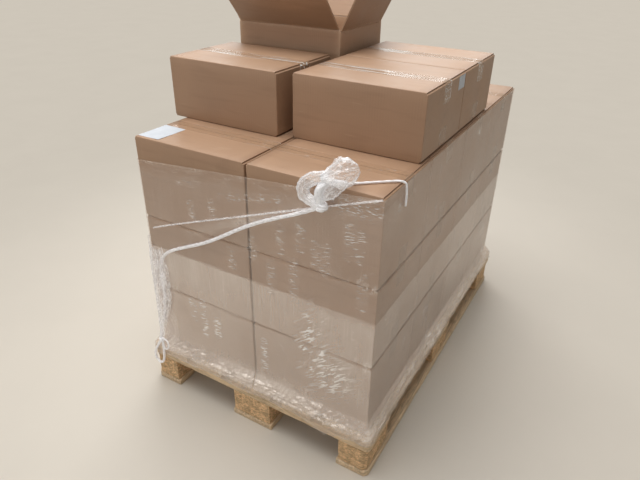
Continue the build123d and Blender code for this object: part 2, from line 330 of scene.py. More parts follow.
def route(points, spacing):
    """Points an even spacing apart on the smooth line, a NURBS of order 3, that the given points
    control, and how far along it each is. The line is read as Blender makes it."""
    curve = bpy.data.curves.new("route", "CURVE")
    curve.dimensions = "3D"
    curve.resolution_u = 24
    spline = curve.splines.new("NURBS")
    spline.points.add(len(points) - 1)
    spline.points.foreach_set("co", np.column_stack([points, np.ones(len(points))]).ravel())
    spline.order_u = 3
    spline.use_endpoint_u = True
    holder = bpy.data.objects.new("route", curve)
    mesh = bpy.data.meshes.new_from_object(holder)
    line = points_of(mesh)
    bpy.data.objects.remove(holder)
    bpy.data.curves.remove(curve)
    bpy.data.meshes.remove(mesh)
    run = arc_length(line)
    places = spread(0, run[-1], spacing)
    return joined(*(np.interp(places, run, line[:, k]) for k in range(3))), places


def ways_round(line, reference, turn, depth=1.0):
    """Directions out of a line at each of its points and turns round it, square to the line. The
    reference is a direction that the line never runs along, and depth flattens them along it."""
    ahead = unit(np.gradient(line, axis=0))
    side = unit(np.cross(ahead, reference))
    up = np.cross(side, ahead)
    return np.cos(turn)[:, None] * side[:, None] + depth * np.sin(turn)[:, None] * up[:, None]


# Materials


class Value:
    """A socket that takes part in plain arithmetic. Each operation adds its own Math node."""

    def __init__(self, finish, socket):
        self.finish, self.socket = finish, socket

    def __add__(self, other):
        return self.finish.math("ADD", self, other)

    def __sub__(self, other):
        return self.finish.math("SUBTRACT", self, other)

    def __rsub__(self, other):
        return self.finish.math("SUBTRACT", other, self)

    def __mul__(self, other):
        return self.finish.math("MULTIPLY", self, other)

    def __pow__(self, other):
        return self.finish.math("POWER", self, other)

    def __abs__(self):
        return self.finish.math("ABSOLUTE", self)

    __radd__ = __add__


class Finish:
    """One material, or the world's, and the few ways in which its nodes are made."""

    def __init__(self, owner):
        owner.use_nodes = True
        self.owner, self.nodes, self.links = owner, owner.node_tree.nodes, owner.node_tree.links
        self.nodes.clear()

    def node(self, kind, settings=None, inputs=None):
        """Any node: its settings first, then the values or links of its sockets."""
        made = self.nodes.new(kind)
        for setting, value in (settings or {}).items():
            setattr(made, setting, value)
        for socket, value in (inputs or {}).items():
            if isinstance(value, Value):
                self.links.new(value.socket, made.inputs[socket])
            else:
                made.inputs[socket].default_value = value
        return made

    def out(self, made, socket=0):
        return Value(self, made.outputs[socket])

    def math(self, operation, *values):
        return self.out(self.node("ShaderNodeMath", {"operation": operation}, dict(enumerate(values))))

    def vector_math(self, operation, *vectors):
        return self.out(
            self.node("ShaderNodeVectorMath", {"operation": operation}, dict(enumerate(vectors)))
        )

    def place(self):
        """Where a point is on the piece, in metres."""
        return self.out(self.node("ShaderNodeTexCoord"), "Object")

    def flat_place(self):
        """Where a point is on the piece's own map, in metres."""
        return self.out(self.node("ShaderNodeTexCoord"), "UV")

    def mark(self, name):
        """The numbers that the skin gave its points under a name."""
        made = self.node("ShaderNodeAttribute", {"attribute_type": "GEOMETRY", "attribute_name": name})
        return self.out(made, "Fac")

    def slanted(self, vector, turn):
        """The place turned about Y: along a slant that climbs to +X, and square to it."""
        inputs = {"Vector": vector, "Angle": turn}
        return self.out(self.node("ShaderNodeVectorRotate", {"rotation_type": "Y_AXIS"}, inputs))

    def axes(self, vector):
        made = self.node("ShaderNodeSeparateXYZ", inputs={0: vector})
        return self.out(made, 0), self.out(made, 1), self.out(made, 2)

    def noise(self, vector, scale, detail=3.0, roughness=0.55, distortion=0.0):
        """Cloudy noise from 0 to 1, finer with its scale, which is one number or one for each axis."""
        if isinstance(scale, tuple):
            vector, scale = self.vector_math("MULTIPLY", vector, scale), 1.0
        inputs = {
            "Vector": vector, "Scale": scale, "Detail": detail, "Roughness": roughness,
            "Distortion": distortion,
        }
        return self.out(self.node("ShaderNodeTexNoise", inputs=inputs), "Fac")

    def cells(self, vector, scale=(1, 1, 1)):
        """A node of cells round scattered points, as many in a metre as the scale says."""
        scaled = self.vector_math("MULTIPLY", vector, scale)
        return self.node("ShaderNodeTexVoronoi", inputs={"Vector": scaled, "Scale": 1.0})

    def between(self, value, low, high, start=0.0, end=1.0):
        """A smooth rise from start to end as value goes from low to high."""
        inputs = {"Value": value, 1: low, 2: high, 3: start, 4: end}
        return self.out(self.node("ShaderNodeMapRange", {"interpolation_type": "SMOOTHSTEP"}, inputs))

    def tint(self, name, share=1.0):
        """One of the load's colours, darkened or lightened by a share."""
        return tuple(np.array(getattr(bpy.context.scene.load_colours, name)) * share)

    def blend(self, share, first, second):
        """Two colours mixed by a share. A colour is a value, numbers, or the name of a tint."""
        colours = [self.tint(c) if isinstance(c, str) else c for c in (first, second)]
        first, second = ((*c, 1) if isinstance(c, tuple) else c for c in colours)
        made = self.node("ShaderNodeMix", {"data_type": "RGBA"}, {0: share, 6: first, 7: second})
        return self.out(made, 2)

    def seen(self):
        """1 for rays of the camera, of reflections and through clear pieces, 0 for light."""
        path = self.node("ShaderNodeLightPath")
        rays = [self.out(path, f"Is {kind} Ray") for kind in ("Camera", "Glossy", "Transmission")]
        return self.math("MAXIMUM", self.math("MAXIMUM", rays[0], rays[1]), rays[2])

    def edge_on(self, share):
        """Towards 1 where the surface is seen on edge, 0 where it faces the camera."""
        return self.out(self.node("ShaderNodeLayerWeight", inputs={"Blend": share}), "Facing")

    def bump(self, height, distance, strength):
        inputs = {"Height": height, "Distance": distance, "Strength": strength}
        return self.out(self.node("ShaderNodeBump", inputs=inputs))

    def surface(self, **sockets):
        """The finished material: a Principled surface with these sockets."""
        inputs = {name.replace("_", " "): value for name, value in sockets.items()}
        shader = self.node("ShaderNodeBsdfPrincipled", inputs=inputs)
        self.node("ShaderNodeOutputMaterial", inputs={"Surface": self.out(shader)})
        return self.owner


def kept(make):
    """A material is made once, and found by name after that. Its name ends in finish, so that it is
    never taken for one of the solids' own plain materials."""

    def asked(*facts):
        name = "_".join((make.__name__, *facts, "finish"))
        return bpy.data.materials.get(name) or make(Finish(bpy.data.materials.new(name)), *facts)

    return asked


@kept
def kraft_board(finish):
    """Brown liner: blotches, fine fibres, faint lines over the flutes, pale worn folds, short
    scuffs, and darker cut edges. The cut mark also paints shade into the seams and
    gaps. The wear mark also paints light on the open carton's inside, and the tone mark
    paints light and shade there and on the flaps. The flutes run along V of the map and are
    counted along U."""
    place, flat = finish.place(), finish.flat_place()
    blotch = finish.noise(place, 7, 4)
    drift = finish.noise(place, (3.9, 3.9, 1.56), 2)
    fibre = finish.noise(flat, (1100, 320, 1), 3, 0.7)
    speck = finish.noise(place, 900, 2, 0.8)
    # The tone mark is random on the closed cartons, and paints light and shade on the open carton and its
    # flaps.
    tone = blotch * 0.3 + drift * 0.3 + fibre * 0.16 + speck * 0.1 + finish.mark("tone") * 0.14
    dark, light = finish.tint("kraft", 0.84), finish.tint("kraft", 1.16)
    board = finish.blend(finish.between(tone, 0.14, 0.84), dark, light)

    smears = finish.between(finish.noise(place, (7, 75, 75), 3, 0.5), 0.52, 0.72)
    across, _, _ = finish.axes(flat)
    pitch = bpy.context.scene.load_sizes.flute_pitch
    lines = finish.math("SINE", across * (tau / pitch)) * 0.5 + 0.5
    flutes = lines ** 2 * finish.between(finish.noise(place, 11, 2), 0.35, 0.7)
    long_scuff = finish.between(finish.noise(place, (9, 9, 160), 2, 0.4, 0.6), 0.7, 0.78)
    flat_scuff = finish.between(finish.noise(place, (160, 14, 9), 2, 0.4, 0.4), 0.71, 0.8)
    stains = finish.between(finish.noise(place, 4.5, 5, 0.6, 0.5), 0.63, 0.75)
    # wear is worn edges and folds, and on the open carton's inside painted light.
    worn = finish.mark("wear") * 0.8 + finish.noise(place, 60, 4, 0.7) * 0.6
    rubbed_and_lit = finish.between(worn, 0.62, 1.15)
    for share, tint in (
        (smears * 0.16, "kraft_dark"), (flutes * 0.12, "kraft_dark"),
        ((long_scuff + flat_scuff) * 0.175, "kraft_worn"), (stains * 0.16, "kraft_dark"),
        (rubbed_and_lit * 0.5, "kraft_worn"), (finish.mark("cut") * 0.55, "kraft_dark"),
    ):
        board = finish.blend(share, board, tint)
    relief = flutes * 0.5 + fibre * 0.14 + speck * 0.1 + rubbed_and_lit * 0.3
    return finish.surface(
        Base_Color=board,
        Roughness=finish.between(blotch + fibre * 0.4, 0.4, 1.0, 0.44, 0.6),
        Normal=finish.bump(relief, 0.12 * MM, 0.55),
    )


@kept
def sawn_wood(finish, along):
    """Sawn softwood with its grain along one axis: bands of late wood, fine streaks, saw marks
    across, dark dirt, a few knots and paler worn edges."""
    place = finish.place()

    def grain(along_it, across_it):
        """A scale for noise that differs along the grain and across it."""
        return tuple(along_it if axis == along else across_it for axis in "xy") + (across_it,)

    bent = finish.noise(place, grain(1.1, 17), 2)
    bands = finish.noise(place, grain(2.2, 34), 4, 0.6, 1.4)
    rings = finish.math("SINE", bands * 46 + bent * 12) * 0.5 + 0.5
    streaks = finish.noise(place, grain(14, 520), 3, 0.7)
    marks = finish.noise(place, grain(260, 5), 2)
    knot = finish.between(finish.out(finish.cells(place, (7, 7, 7)), "Distance"), 0.05, 0.11, 1, 0)
    dirt = finish.between(finish.noise(place, 16, 5, 0.65, 0.4), 0.52, 0.74)
    tone = rings * 0.42 + streaks * 0.46 + marks * 0.12
    light, dark = finish.tint("wood", 1.1), finish.tint("wood", 0.66)
    wood = finish.blend(finish.between(tone, 0.2, 0.85), light, dark)
    for share, tint in (
        (finish.between(streaks, 0.6, 0.78) * 0.45, "wood_dark"), (dirt * 0.5, "wood_dark"),
        (knot * 0.7, finish.tint("wood_dark", 0.6)),
        (finish.mark("wear") * 0.35, finish.tint("wood", 1.25)),
    ):
        wood = finish.blend(share, wood, tint)
    return finish.surface(
        Base_Color=wood,
        Roughness=finish.between(tone, 0.2, 0.9, 0.62, 0.85),
        Normal=finish.bump(streaks * 0.6 + marks * 0.25 + rings * 0.15, 0.5 * MM, 0.6),
    )


@kept
def pressed_chips(finish):
    """A block of pressed chips: flat chips of mixed browns with dark gaps between them."""
    place = finish.place()
    bent = finish.vector_math("MULTIPLY", finish.noise(place, 60, 2), (1.6, 1.6, 1.6))
    stretched = finish.vector_math("MULTIPLY", place, (120, 170, 330))
    large = finish.cells(finish.vector_math("ADD", stretched, bent))
    small = finish.cells(place, (420, 260, 520))
    tone, gap = finish.axes(finish.out(large, "Color"))[0], finish.out(large, "Distance")
    fine = finish.axes(finish.out(small, "Color"))[1]
    dust = finish.noise(place, 18, 4)
    patch = finish.between(finish.noise(place, 42, 3, 0.6), 0.36, 0.64)
    share = finish.between(tone * 0.45 + fine * 0.2 + dust * 0.05 + patch * 0.3, 0.15, 0.85)
    chips = finish.blend(share, finish.tint("chips", 0.6), finish.tint("chips", 1.25))
    deep = finish.between(gap, 0.45, 0.85) * 0.5 + finish.between(fine, 0.0, 0.2, 1, 0) * 0.2
    chips = finish.blend(deep, chips, "chips_dark")
    chips = finish.blend(finish.between(dust, 0.58, 0.75) * 0.35, chips, "chips_dark")
    return finish.surface(
        Base_Color=chips, Roughness=0.82,
        Normal=finish.bump(tone * 0.5 + fine * 0.4 - gap * 0.5, 1.6 * MM, 0.7),
    )


@kept
def clear_film(finish):
    """Clear stretch film: nearly unseen where it is smooth, whiter where layers add up, on crests
    and in folds, and whiter where seen on edge as a painted reflection. Short bright dashes, white
    and nearly opaque, are painted glints. Marks say where: haze, crest, glint for upright columns
    of painted glints, flat_glints for flat ones and slanted_glints for strokes that climb to the right."""
    place = finish.place()
    haze, crest = finish.mark("haze"), finish.mark("crest")
    column = finish.between(finish.mark("glint"), 0.08, 0.8)
    cloud = finish.noise(place, (14, 14, 5), 4, 0.6)
    drawn = finish.noise(place, (240, 240, 8), 3, 0.6, 0.3)
    crinkle = finish.noise(place, (170, 170, 170), 4, 0.65, 1.2)
    dash = finish.noise(finish.slanted(place, 0.16), (38, 40, 300), 1, 0.5, 0.12)
    flat_dash = finish.noise(place, (60, 60, 520), 2, 0.5, 0.5)
    stroke = finish.noise(finish.slanted(place, 0.62), (25, 34, 175), 2, 0.55, 0.3)
    lone_glint = finish.between(finish.noise(place, (160, 160, 420), 2, 0.5, 0.8), 0.7, 0.76)
    # painted_glints: white, nearly opaque dashes in the glint columns, lone specks, flat dashes and
    # slanted strokes, all painted highlights.
    painted_glints = finish.between(dash, 0.53, 0.68) * column * 0.55 + lone_glint * 0.5
    painted_glints = painted_glints + finish.between(flat_dash, 0.56, 0.66) * finish.mark("flat_glints")
    painted_glints = painted_glints + finish.between(stroke, 0.53, 0.62) * finish.mark("slanted_glints")
    painted_glints = finish.math("MINIMUM", painted_glints, 1)
    streaks = finish.between(drawn, 0.48, 0.74) * (0.05 + haze * 0.03)
    frost = finish.between(crinkle, 0.48, 0.64) * crest
    alpha = haze * (0.75 + cloud * 0.5) + streaks + column * 0.04 + painted_glints * 0.8
    # Seen on edge the film is whiter: a painted reflection.
    alpha = alpha + crest * 0.16 + frost * 0.8 + finish.edge_on(0.2) ** 2 * 0.2
    relief = drawn * 0.35 + crinkle * (0.22 + crest * 1.2) + dash * column * 1.2
    return finish.surface(
        Base_Color=finish.blend(painted_glints, "film", (1.0, 1.0, 1.0)),
        Metallic=finish.between(painted_glints, 0, 1, 0.5, 0.35),
        Roughness=finish.between(cloud, 0.3, 0.7, 0.12, 0.25),
        Alpha=finish.math("MINIMUM", alpha, 0.95),
        Normal=finish.bump(relief, 1.3 * MM, 0.9),
    )


@kept
def gathered_film(finish):
    """Film pulled together: many layers, nearly white, with clear and dark streaks along it. A weak
    glow, painted light, stands in for light that has gone through the layers. Where the mark thin
    is 1 only folds, bends and surfaces seen on edge stay white. The map's V runs along the piece
    and U goes round it."""
    flat, place = finish.flat_place(), finish.place()
    fine = finish.noise(flat, (820, 45, 1), 3, 0.65, 0.6)
    pleat = finish.noise(flat, (130, 28, 1), 3, 0.55, 0.8)
    broad = finish.noise(place, (90, 90, 90), 4, 0.6, 0.8)
    thin, tone = finish.mark("thin"), fine * 0.6 + broad * 0.4
    body = finish.blend(finish.between(tone, 0.34, 0.56), finish.tint("rope_film", 0.8), "rope_film")
    body = finish.blend(thin * 0.2, body, "film")
    full = finish.between(tone, 0.3, 0.52, 0.8, 0.98)
    folds = finish.between(abs(pleat - 0.5), 0.004, 0.05, 1, 0)
    bends = finish.between(abs(broad - 0.5), 0.003, 0.024, 1, 0)
    veil = 0.14 + folds * 0.5 + bends * 0.3 + finish.mark("crest") * 0.45
    veil = veil + finish.edge_on(0.3) ** 2 * 0.35
    return finish.surface(
        Base_Color=body, Specular_IOR_Level=1.0, Coat_Weight=0.6, Coat_Roughness=0.12,
        # A painted glow: the film lights itself a little, standing in for light through its layers.
        Emission_Color=body, Emission_Strength=0.12,
        Roughness=finish.between(broad, 0.3, 0.7, 0.12, 0.3),
        Alpha=finish.math("MINIMUM", full * (1 - thin) + veil * thin, 0.97),
        Normal=finish.bump(fine * 0.4 + broad * 0.4 + pleat * thin * 1.2, 1.6 * MM, 0.9),
    )


@kept
def clear_tape(finish):
    """Clear packing tape: glossy, a little darker and warmer than the board, with fine creases, pale
    air pockets and pale rims. On the high lids the rims are brighter and pale streaks are painted
    highlights of sheen."""
    flat, place = finish.flat_place(), finish.place()
    creases = finish.noise(flat, (70, 24, 1), 3, 0.6, 0.8)
    air = finish.noise(place, (40, 90, 90), 3, 0.6)
    pocket = finish.between(air, 0.62, 0.7)
    (across, _, _), (_, _, height) = finish.axes(flat), finish.axes(place)
    high_up = finish.between(height, 0.9, 1.0)
    # Painted highlights: the rims are paler on the high lids, and pale streaks there stand in for sheen.
    pale_rim_and_highlight = finish.between(abs(across), 0.0195, 0.0235) * (high_up * 0.65 + 0.35)
    pale_rim_and_highlight = pale_rim_and_highlight * finish.between(finish.noise(place, (9, 60, 60), 3), 0.42, 0.6)
    painted_sheen = finish.between(finish.noise(place, (5, 150, 150), 2, 0.5, 0.3), 0.56, 0.62) * high_up
    pale = finish.math("MINIMUM", pocket * 0.5 + pale_rim_and_highlight + painted_sheen, 1)
    return finish.surface(
        Base_Color=finish.blend(pale, "tape", (0.98, 0.96, 0.92)), Coat_Weight=0.4, Coat_Roughness=0.08,
        Roughness=finish.between(creases, 0.3, 0.7, 0.1, 0.22),
        Alpha=finish.math("MINIMUM", pocket * 0.2 + pale_rim_and_highlight * 0.6 + painted_sheen * 0.6 + 0.16, 0.95),
        Normal=finish.bump(creases + air * 0.5, 0.5 * MM, 0.6),
    )


@kept
def label_paper(finish):
    """Plain white paper, a little uneven, with a faint shade of dust."""
    place = finish.place()
    pulp, dust = finish.noise(place, 600, 4, 0.7), finish.noise(place, 35, 4, 0.6)
    shade = finish.between(pulp * 0.4 + dust * 0.6, 0.3, 0.75)
    return finish.surface(
        Base_Color=finish.blend(shade, "paper", finish.tint("paper", 0.9)),
        Roughness=finish.between(dust, 0.3, 0.7, 0.62, 0.8),
        Normal=finish.bump(pulp + dust, 0.08 * MM, 0.4),
    )


@kept
def nail_steel(finish):
    """Dull nail heads with brown rust."""
    rust = finish.between(finish.noise(finish.place(), 420, 4, 0.7), 0.42, 0.6)
    return finish.surface(
        Base_Color=finish.blend(rust, "steel", "rust"),
        Metallic=finish.between(rust, 0, 1, 0.85, 0.1), Roughness=finish.between(rust, 0, 1, 0.42, 0.8),
        Normal=finish.bump(rust, 0.2 * MM, 0.5),
    )


@kept
def pale_floor(finish):
    """A plain pale floor with the faintest mottle. Far from the load it is seen at its own colour."""
    place = finish.place()
    mottle = finish.between(finish.noise(place, 3, 5, 0.6), 0.3, 0.7)
    tint = finish.blend(mottle, finish.tint("floor", 0.99), finish.tint("floor", 1.01))
    lit = finish.node("ShaderNodeBsdfPrincipled", inputs={"Base Color": tint, "Roughness": 0.55})
    glow = finish.node("ShaderNodeEmission", inputs={"Color": tint, "Strength": 1.0})
    away = finish.out(finish.node("ShaderNodeVectorMath", {"operation": "LENGTH"}, {0: place}), "Value")
    share = finish.seen() * finish.between(away, 0.8, 2.6)
    mixed = finish.node("ShaderNodeMixShader", inputs={0: share, 1: finish.out(lit), 2: finish.out(glow)})
    finish.node("ShaderNodeOutputMaterial", inputs={"Surface": finish.out(mixed)})
    return finish.owner


# What is known of the solids

ROOT = next(body for body in frame["bodies"] if body.startswith("root"))
JOINTS = {joint["child"]: joint for joint in frame["joints"]}


def box(node):
    """A solid's box: its lowest and its highest corner."""
    low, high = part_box(node)
    return np.array(low), np.array(high)


def nodes_of(*starts):
    """The solids whose names start with one of these, in order."""
    return sorted(node for node in frame["nodes"] if node.startswith(starts))


def seed_of(node):
    """A seed for a node's own noise, from the letters of its name."""
    return sum(ord(letter) * (place + 3) for place, letter in enumerate(node))


def settled(points, low, high, seed):
    """Points on or near a carton's box, moved as its board is: the walls stand back towards their
    edges by the recess times 1 - (1 - u^2)(1 - v^2), the lid and the bottom sink inwards by the sag
    times (1 - u^2)(1 - v^2), and small dents, always inwards, come from smooth noise."""
    sizes = bpy.context.scene.load_sizes
    share = (points - (low + high) / 2) / ((high - low) / 2)
    inner = np.clip(share, -1, 1)
    crown = 1 - inner**2
    near = np.abs(inner) ** 14
    dents = 0.35 * MM * (1 + smooth_noise(points, 0.07, seed))
    back_x = sizes.wall_recess * (1 - crown[..., 1] * crown[..., 2]) + dents
    back_y = sizes.wall_recess * (1 - crown[..., 0] * crown[..., 2]) + dents
    sunk = sizes.lid_sag * crown[..., 0] * crown[..., 1] + 0.3 * dents
    return points - np.sign(share) * joined(back_x, back_y, sunk) * near


def board_skin(node):
    """A skin with the marks that kraft_board reads."""
    return Skin(node + "_board", "wear", "cut", "tone")


class LOAD_OT_closed_cartons(bpy.types.Operator):
    """Make the closed cartons, with slightly hollow edges, set back flaps and seams"""

    bl_idname = "load.closed_cartons"
    bl_label = "Closed cartons"
    end_round = 1.8 * MM

    def execute(self, context):
        for node in nodes_of("carton_tier", "low_carton"):
            skin = board_skin(node)
            self.carton(skin, node, context.scene.load_sizes)
            skin.dress(kraft_board(), ROOT, "corrugated_board", node, 40)
        return {"FINISHED"}

    def carton(self, skin, node, sizes):
        """One closed carton: a rounded outline in Y and Z with the flaps' seam cut into it, carried
        along X. Past the outer flaps' ends the outline drops by the board's thickness, and the ends
        close in shrinking rings."""
        low, high = box(node)
        size, middle, seed = high - low, (low + high) / 2, seed_of(node)
        sink, step = 2 * sizes.board, 26 * MM
        outline, ways, notched = boxed_outline(size[1], size[2], sizes.fold_radius, step, sizes.seam_gap)
        lowered = boxed_outline(size[1], size[2] - sink, sizes.fold_radius, step, sizes.seam_gap)[0]
        outline = np.where(notched[:, None], outline * (1, 1 - sink / size[2]), outline)
        half, setback = size[0] / 2, sizes.flap_setback
        rounded = lowered - self.end_round * ways
        shares = (0.25, 0.5, 0.75, 0.93, 1)
        start = [joined(-half, *(rounded * share).T) for share in shares]
        start += [joined(inset - half, *lowered.T) for inset in (self.end_round, setback)]
        body = [joined(x, *outline.T) for x in spread(setback - half, half - setback, 28 * MM)]
        end = [ring * (-1, 1, 1) for ring in reversed(start)]
        rings = np.array(start + body + end) + middle
        share = np.abs((rings - middle) / (size / 2))
        in_end, cut = np.zeros(rings.shape[:2], bool), np.zeros(rings.shape[:2])
        in_end[:len(shares)], in_end[-len(shares):] = True, True
        end_map, side_map = rings[..., 1:], joined(rings[..., 0], arc_length(outline))
        flap_end = len(start)
        # cut darkens the lid and bottom at the outer flaps' ends and the seam between the flaps: painted
        # shade in these gaps.
        cut[flap_end - 1:flap_end + 1], cut[-flap_end - 1:1 - flap_end] = 0.8, 0.8
        skin.rings(
            settled(rings, low, high, seed), uv=np.where(in_end[..., None], end_map, side_map),
            wear=0.75 * smooth_step(np.sort(share, axis=-1)[..., 1], 0.975, 1.0),
            cut=cut * (np.abs(ways[:, 1]) > 0.9) + 0.9 * notched,
            tone=np.full(rings.shape[:2], np.random.default_rng(seed).uniform(0, 1)),
        )


class LOAD_OT_tape(bpy.types.Operator):
    """Lay the clear tape over and under each closed carton's seam, following its board"""

    bl_idname = "load.tape"
    bl_label = "Clear tape"
    lift = 0.12 * MM
    thin = 0.1 * MM

    def execute(self, context):
        skin = Skin("clear_tape_strips")
        for node in nodes_of("carton_tier", "low_carton"):
            for up in (1, -1):
                self.strip(skin, node, context.scene.load_sizes, up)
        skin.dress(clear_tape(), ROOT, "clear_tape", "carton_tape", 50)
        return {"FINISHED"}

    def strip(self, skin, node, sizes, up):
        """A strip of tape over a carton's seam: a thin section carried along a path that climbs one
        end panel, crosses the gap at the outer flap's end in a slant, runs over the lid and goes
        down the other end. Below a carton, where up is -1, the path is upside down."""
        low, high = box(node)
        half, leg = (high[0] - low[0]) / 2 + self.lift, sizes.tape_leg
        top, board = (high[2] - low[2]) / 2 + self.lift, sizes.board
        over = spread(sizes.flap_setback - half, 0, 26 * MM)
        climb = [(-half, top - leg * share) for share in (1, 0.6, 0.25)]
        bend = [(-half, top - board - 2.5 * MM), (-half + 0.9 * MM, top - board)]
        left = np.concatenate([climb, bend, joined(over, top)])
        path = np.concatenate([left, left[::-1][1:] * (-1, 1)])
        ahead = unit(np.gradient(path, axis=0))
        across = np.array([-1, -0.35, 0.35, 1, 1, 0.35, -0.35, -1]) * sizes.tape_width / 2
        level = np.array([1, 1, 1, 1, 0, 0, 0, 0]) * self.thin
        x = path[:, :1] - ahead[:, 1:] * level
        z = path[:, 1:] + ahead[:, :1] * level
        rings = joined(x, across, z * up) + (low + high) / 2
        run = arc_length(path)[:, None]
        skin.rings(settled(rings, low, high, seed_of(node)), uv=joined(across, run))


class LOAD_OT_open_carton(bpy.types.Operator):
    """Make the open carton's walls, rim and floor"""

    bl_idname = "load.open_carton"
    bl_label = "Open carton"
    end_drop = 4.3 * MM
    side_bow = 1.8 * MM

    def execute(self, context):
        sizes = context.scene.load_sizes
        low, high = box("open_carton")
        size, base = high - low, np.append((low + high)[:2] / 2, low[2])
        skin = board_skin("open_carton")
        self.walls(skin, size, base, sizes)
        self.floor(skin, size, base, sizes.board)
        skin.dress(kraft_board(), ROOT, "corrugated_board", "open_carton", 40)
        return {"FINISHED"}

    def walls(self, skin, size, base, sizes):
        """An outline carried up the outside, over the round rim and down the inside to the floor.
        The walls bow outwards by a square across them and a squared sine up them, and the rim of
        the end walls is lower."""
        board, lip = sizes.board, sizes.board / 2
        outline, ways, _ = boxed_outline(size[0], size[1], sizes.fold_radius, 24 * MM)
        top = size[2] - self.end_drop * smooth_step(ways[:, 0] ** 2, 0.2, 0.8)
        levels = (0.08, 0.2, 0.35, 0.5, 0.65, 0.8, 0.92)
        stations = [(1.6 * MM, 0, 0), (0.3 * MM, 0, 0.6 * MM), (0, 0, 2 * MM)]
        stations += [(0, share, 0) for share in levels]
        stations += [(lip - lip * cos(a), 1, lip * sin(a) - lip) for a in np.linspace(0, pi, 7)]
        stations += [(board, share, 0) for share in reversed(levels)] + [(board, 0, board)]
        inset, share, rise = (part[:, None] for part in np.array(stations).T)
        plan = outline - inset[..., None] * ways
        rings = joined(plan[..., 0], plan[..., 1], share * top + rise)
        inside = np.broadcast_to(inset > lip, rings.shape[:2])
        along = np.clip(np.abs(rings[..., :2]) / (size[:2] / 2), 0, 1)
        bow = self.side_bow * (1 - (along * np.abs(ways[:, ::-1])).max(-1) ** 2)
        bow = bow * np.sin(pi * np.clip(rings[..., 2] / size[2], 0, 1)) ** 2
        rings[..., :2] += bow[..., None] * ways
        near_edge = smooth_step(along.min(-1), 0.95, 1.0)
        near_fold = bell(rings[..., 2] - size[2], 0.006) + bell(rings[..., 2], 0.006)
        # The inside is lighter by the wear and tone marks: painted light that falls in through the
        # opening.
        skin.rings(
            rings + base, uv=joined(arc_length(outline), rings[..., 2]),
            wear=np.clip(near_edge + near_fold + 0.9 * inside, 0, 1), tone=2.4 + 1.4 * inside,
        )

    def floor(self, skin, size, base, board):
        """The two closed bottom flaps inside, each a thin board that climbs a little to the seam."""
        start, reach = board - size[0] / 2, (size[1] - board) / 2
        x = spread(start, start + reach, 20 * MM)[:, None]
        profile = boxed_outline(size[1] - 2 * board - 1 * MM, board * 0.95, 0.8 * MM, 24 * MM)[0]
        lift = 1.5 * board + 0.15 * MM + 3 * MM * smooth_step(x - start, reach * 0.3, reach)
        for side in (-1, 1):
            leaf = joined(side * x, profile[:, 0], profile[:, 1] + lift)
            skin.rings(leaf + base, uv=joined(leaf[..., 1], leaf[..., 0]), wear=0.1, tone=1.5)


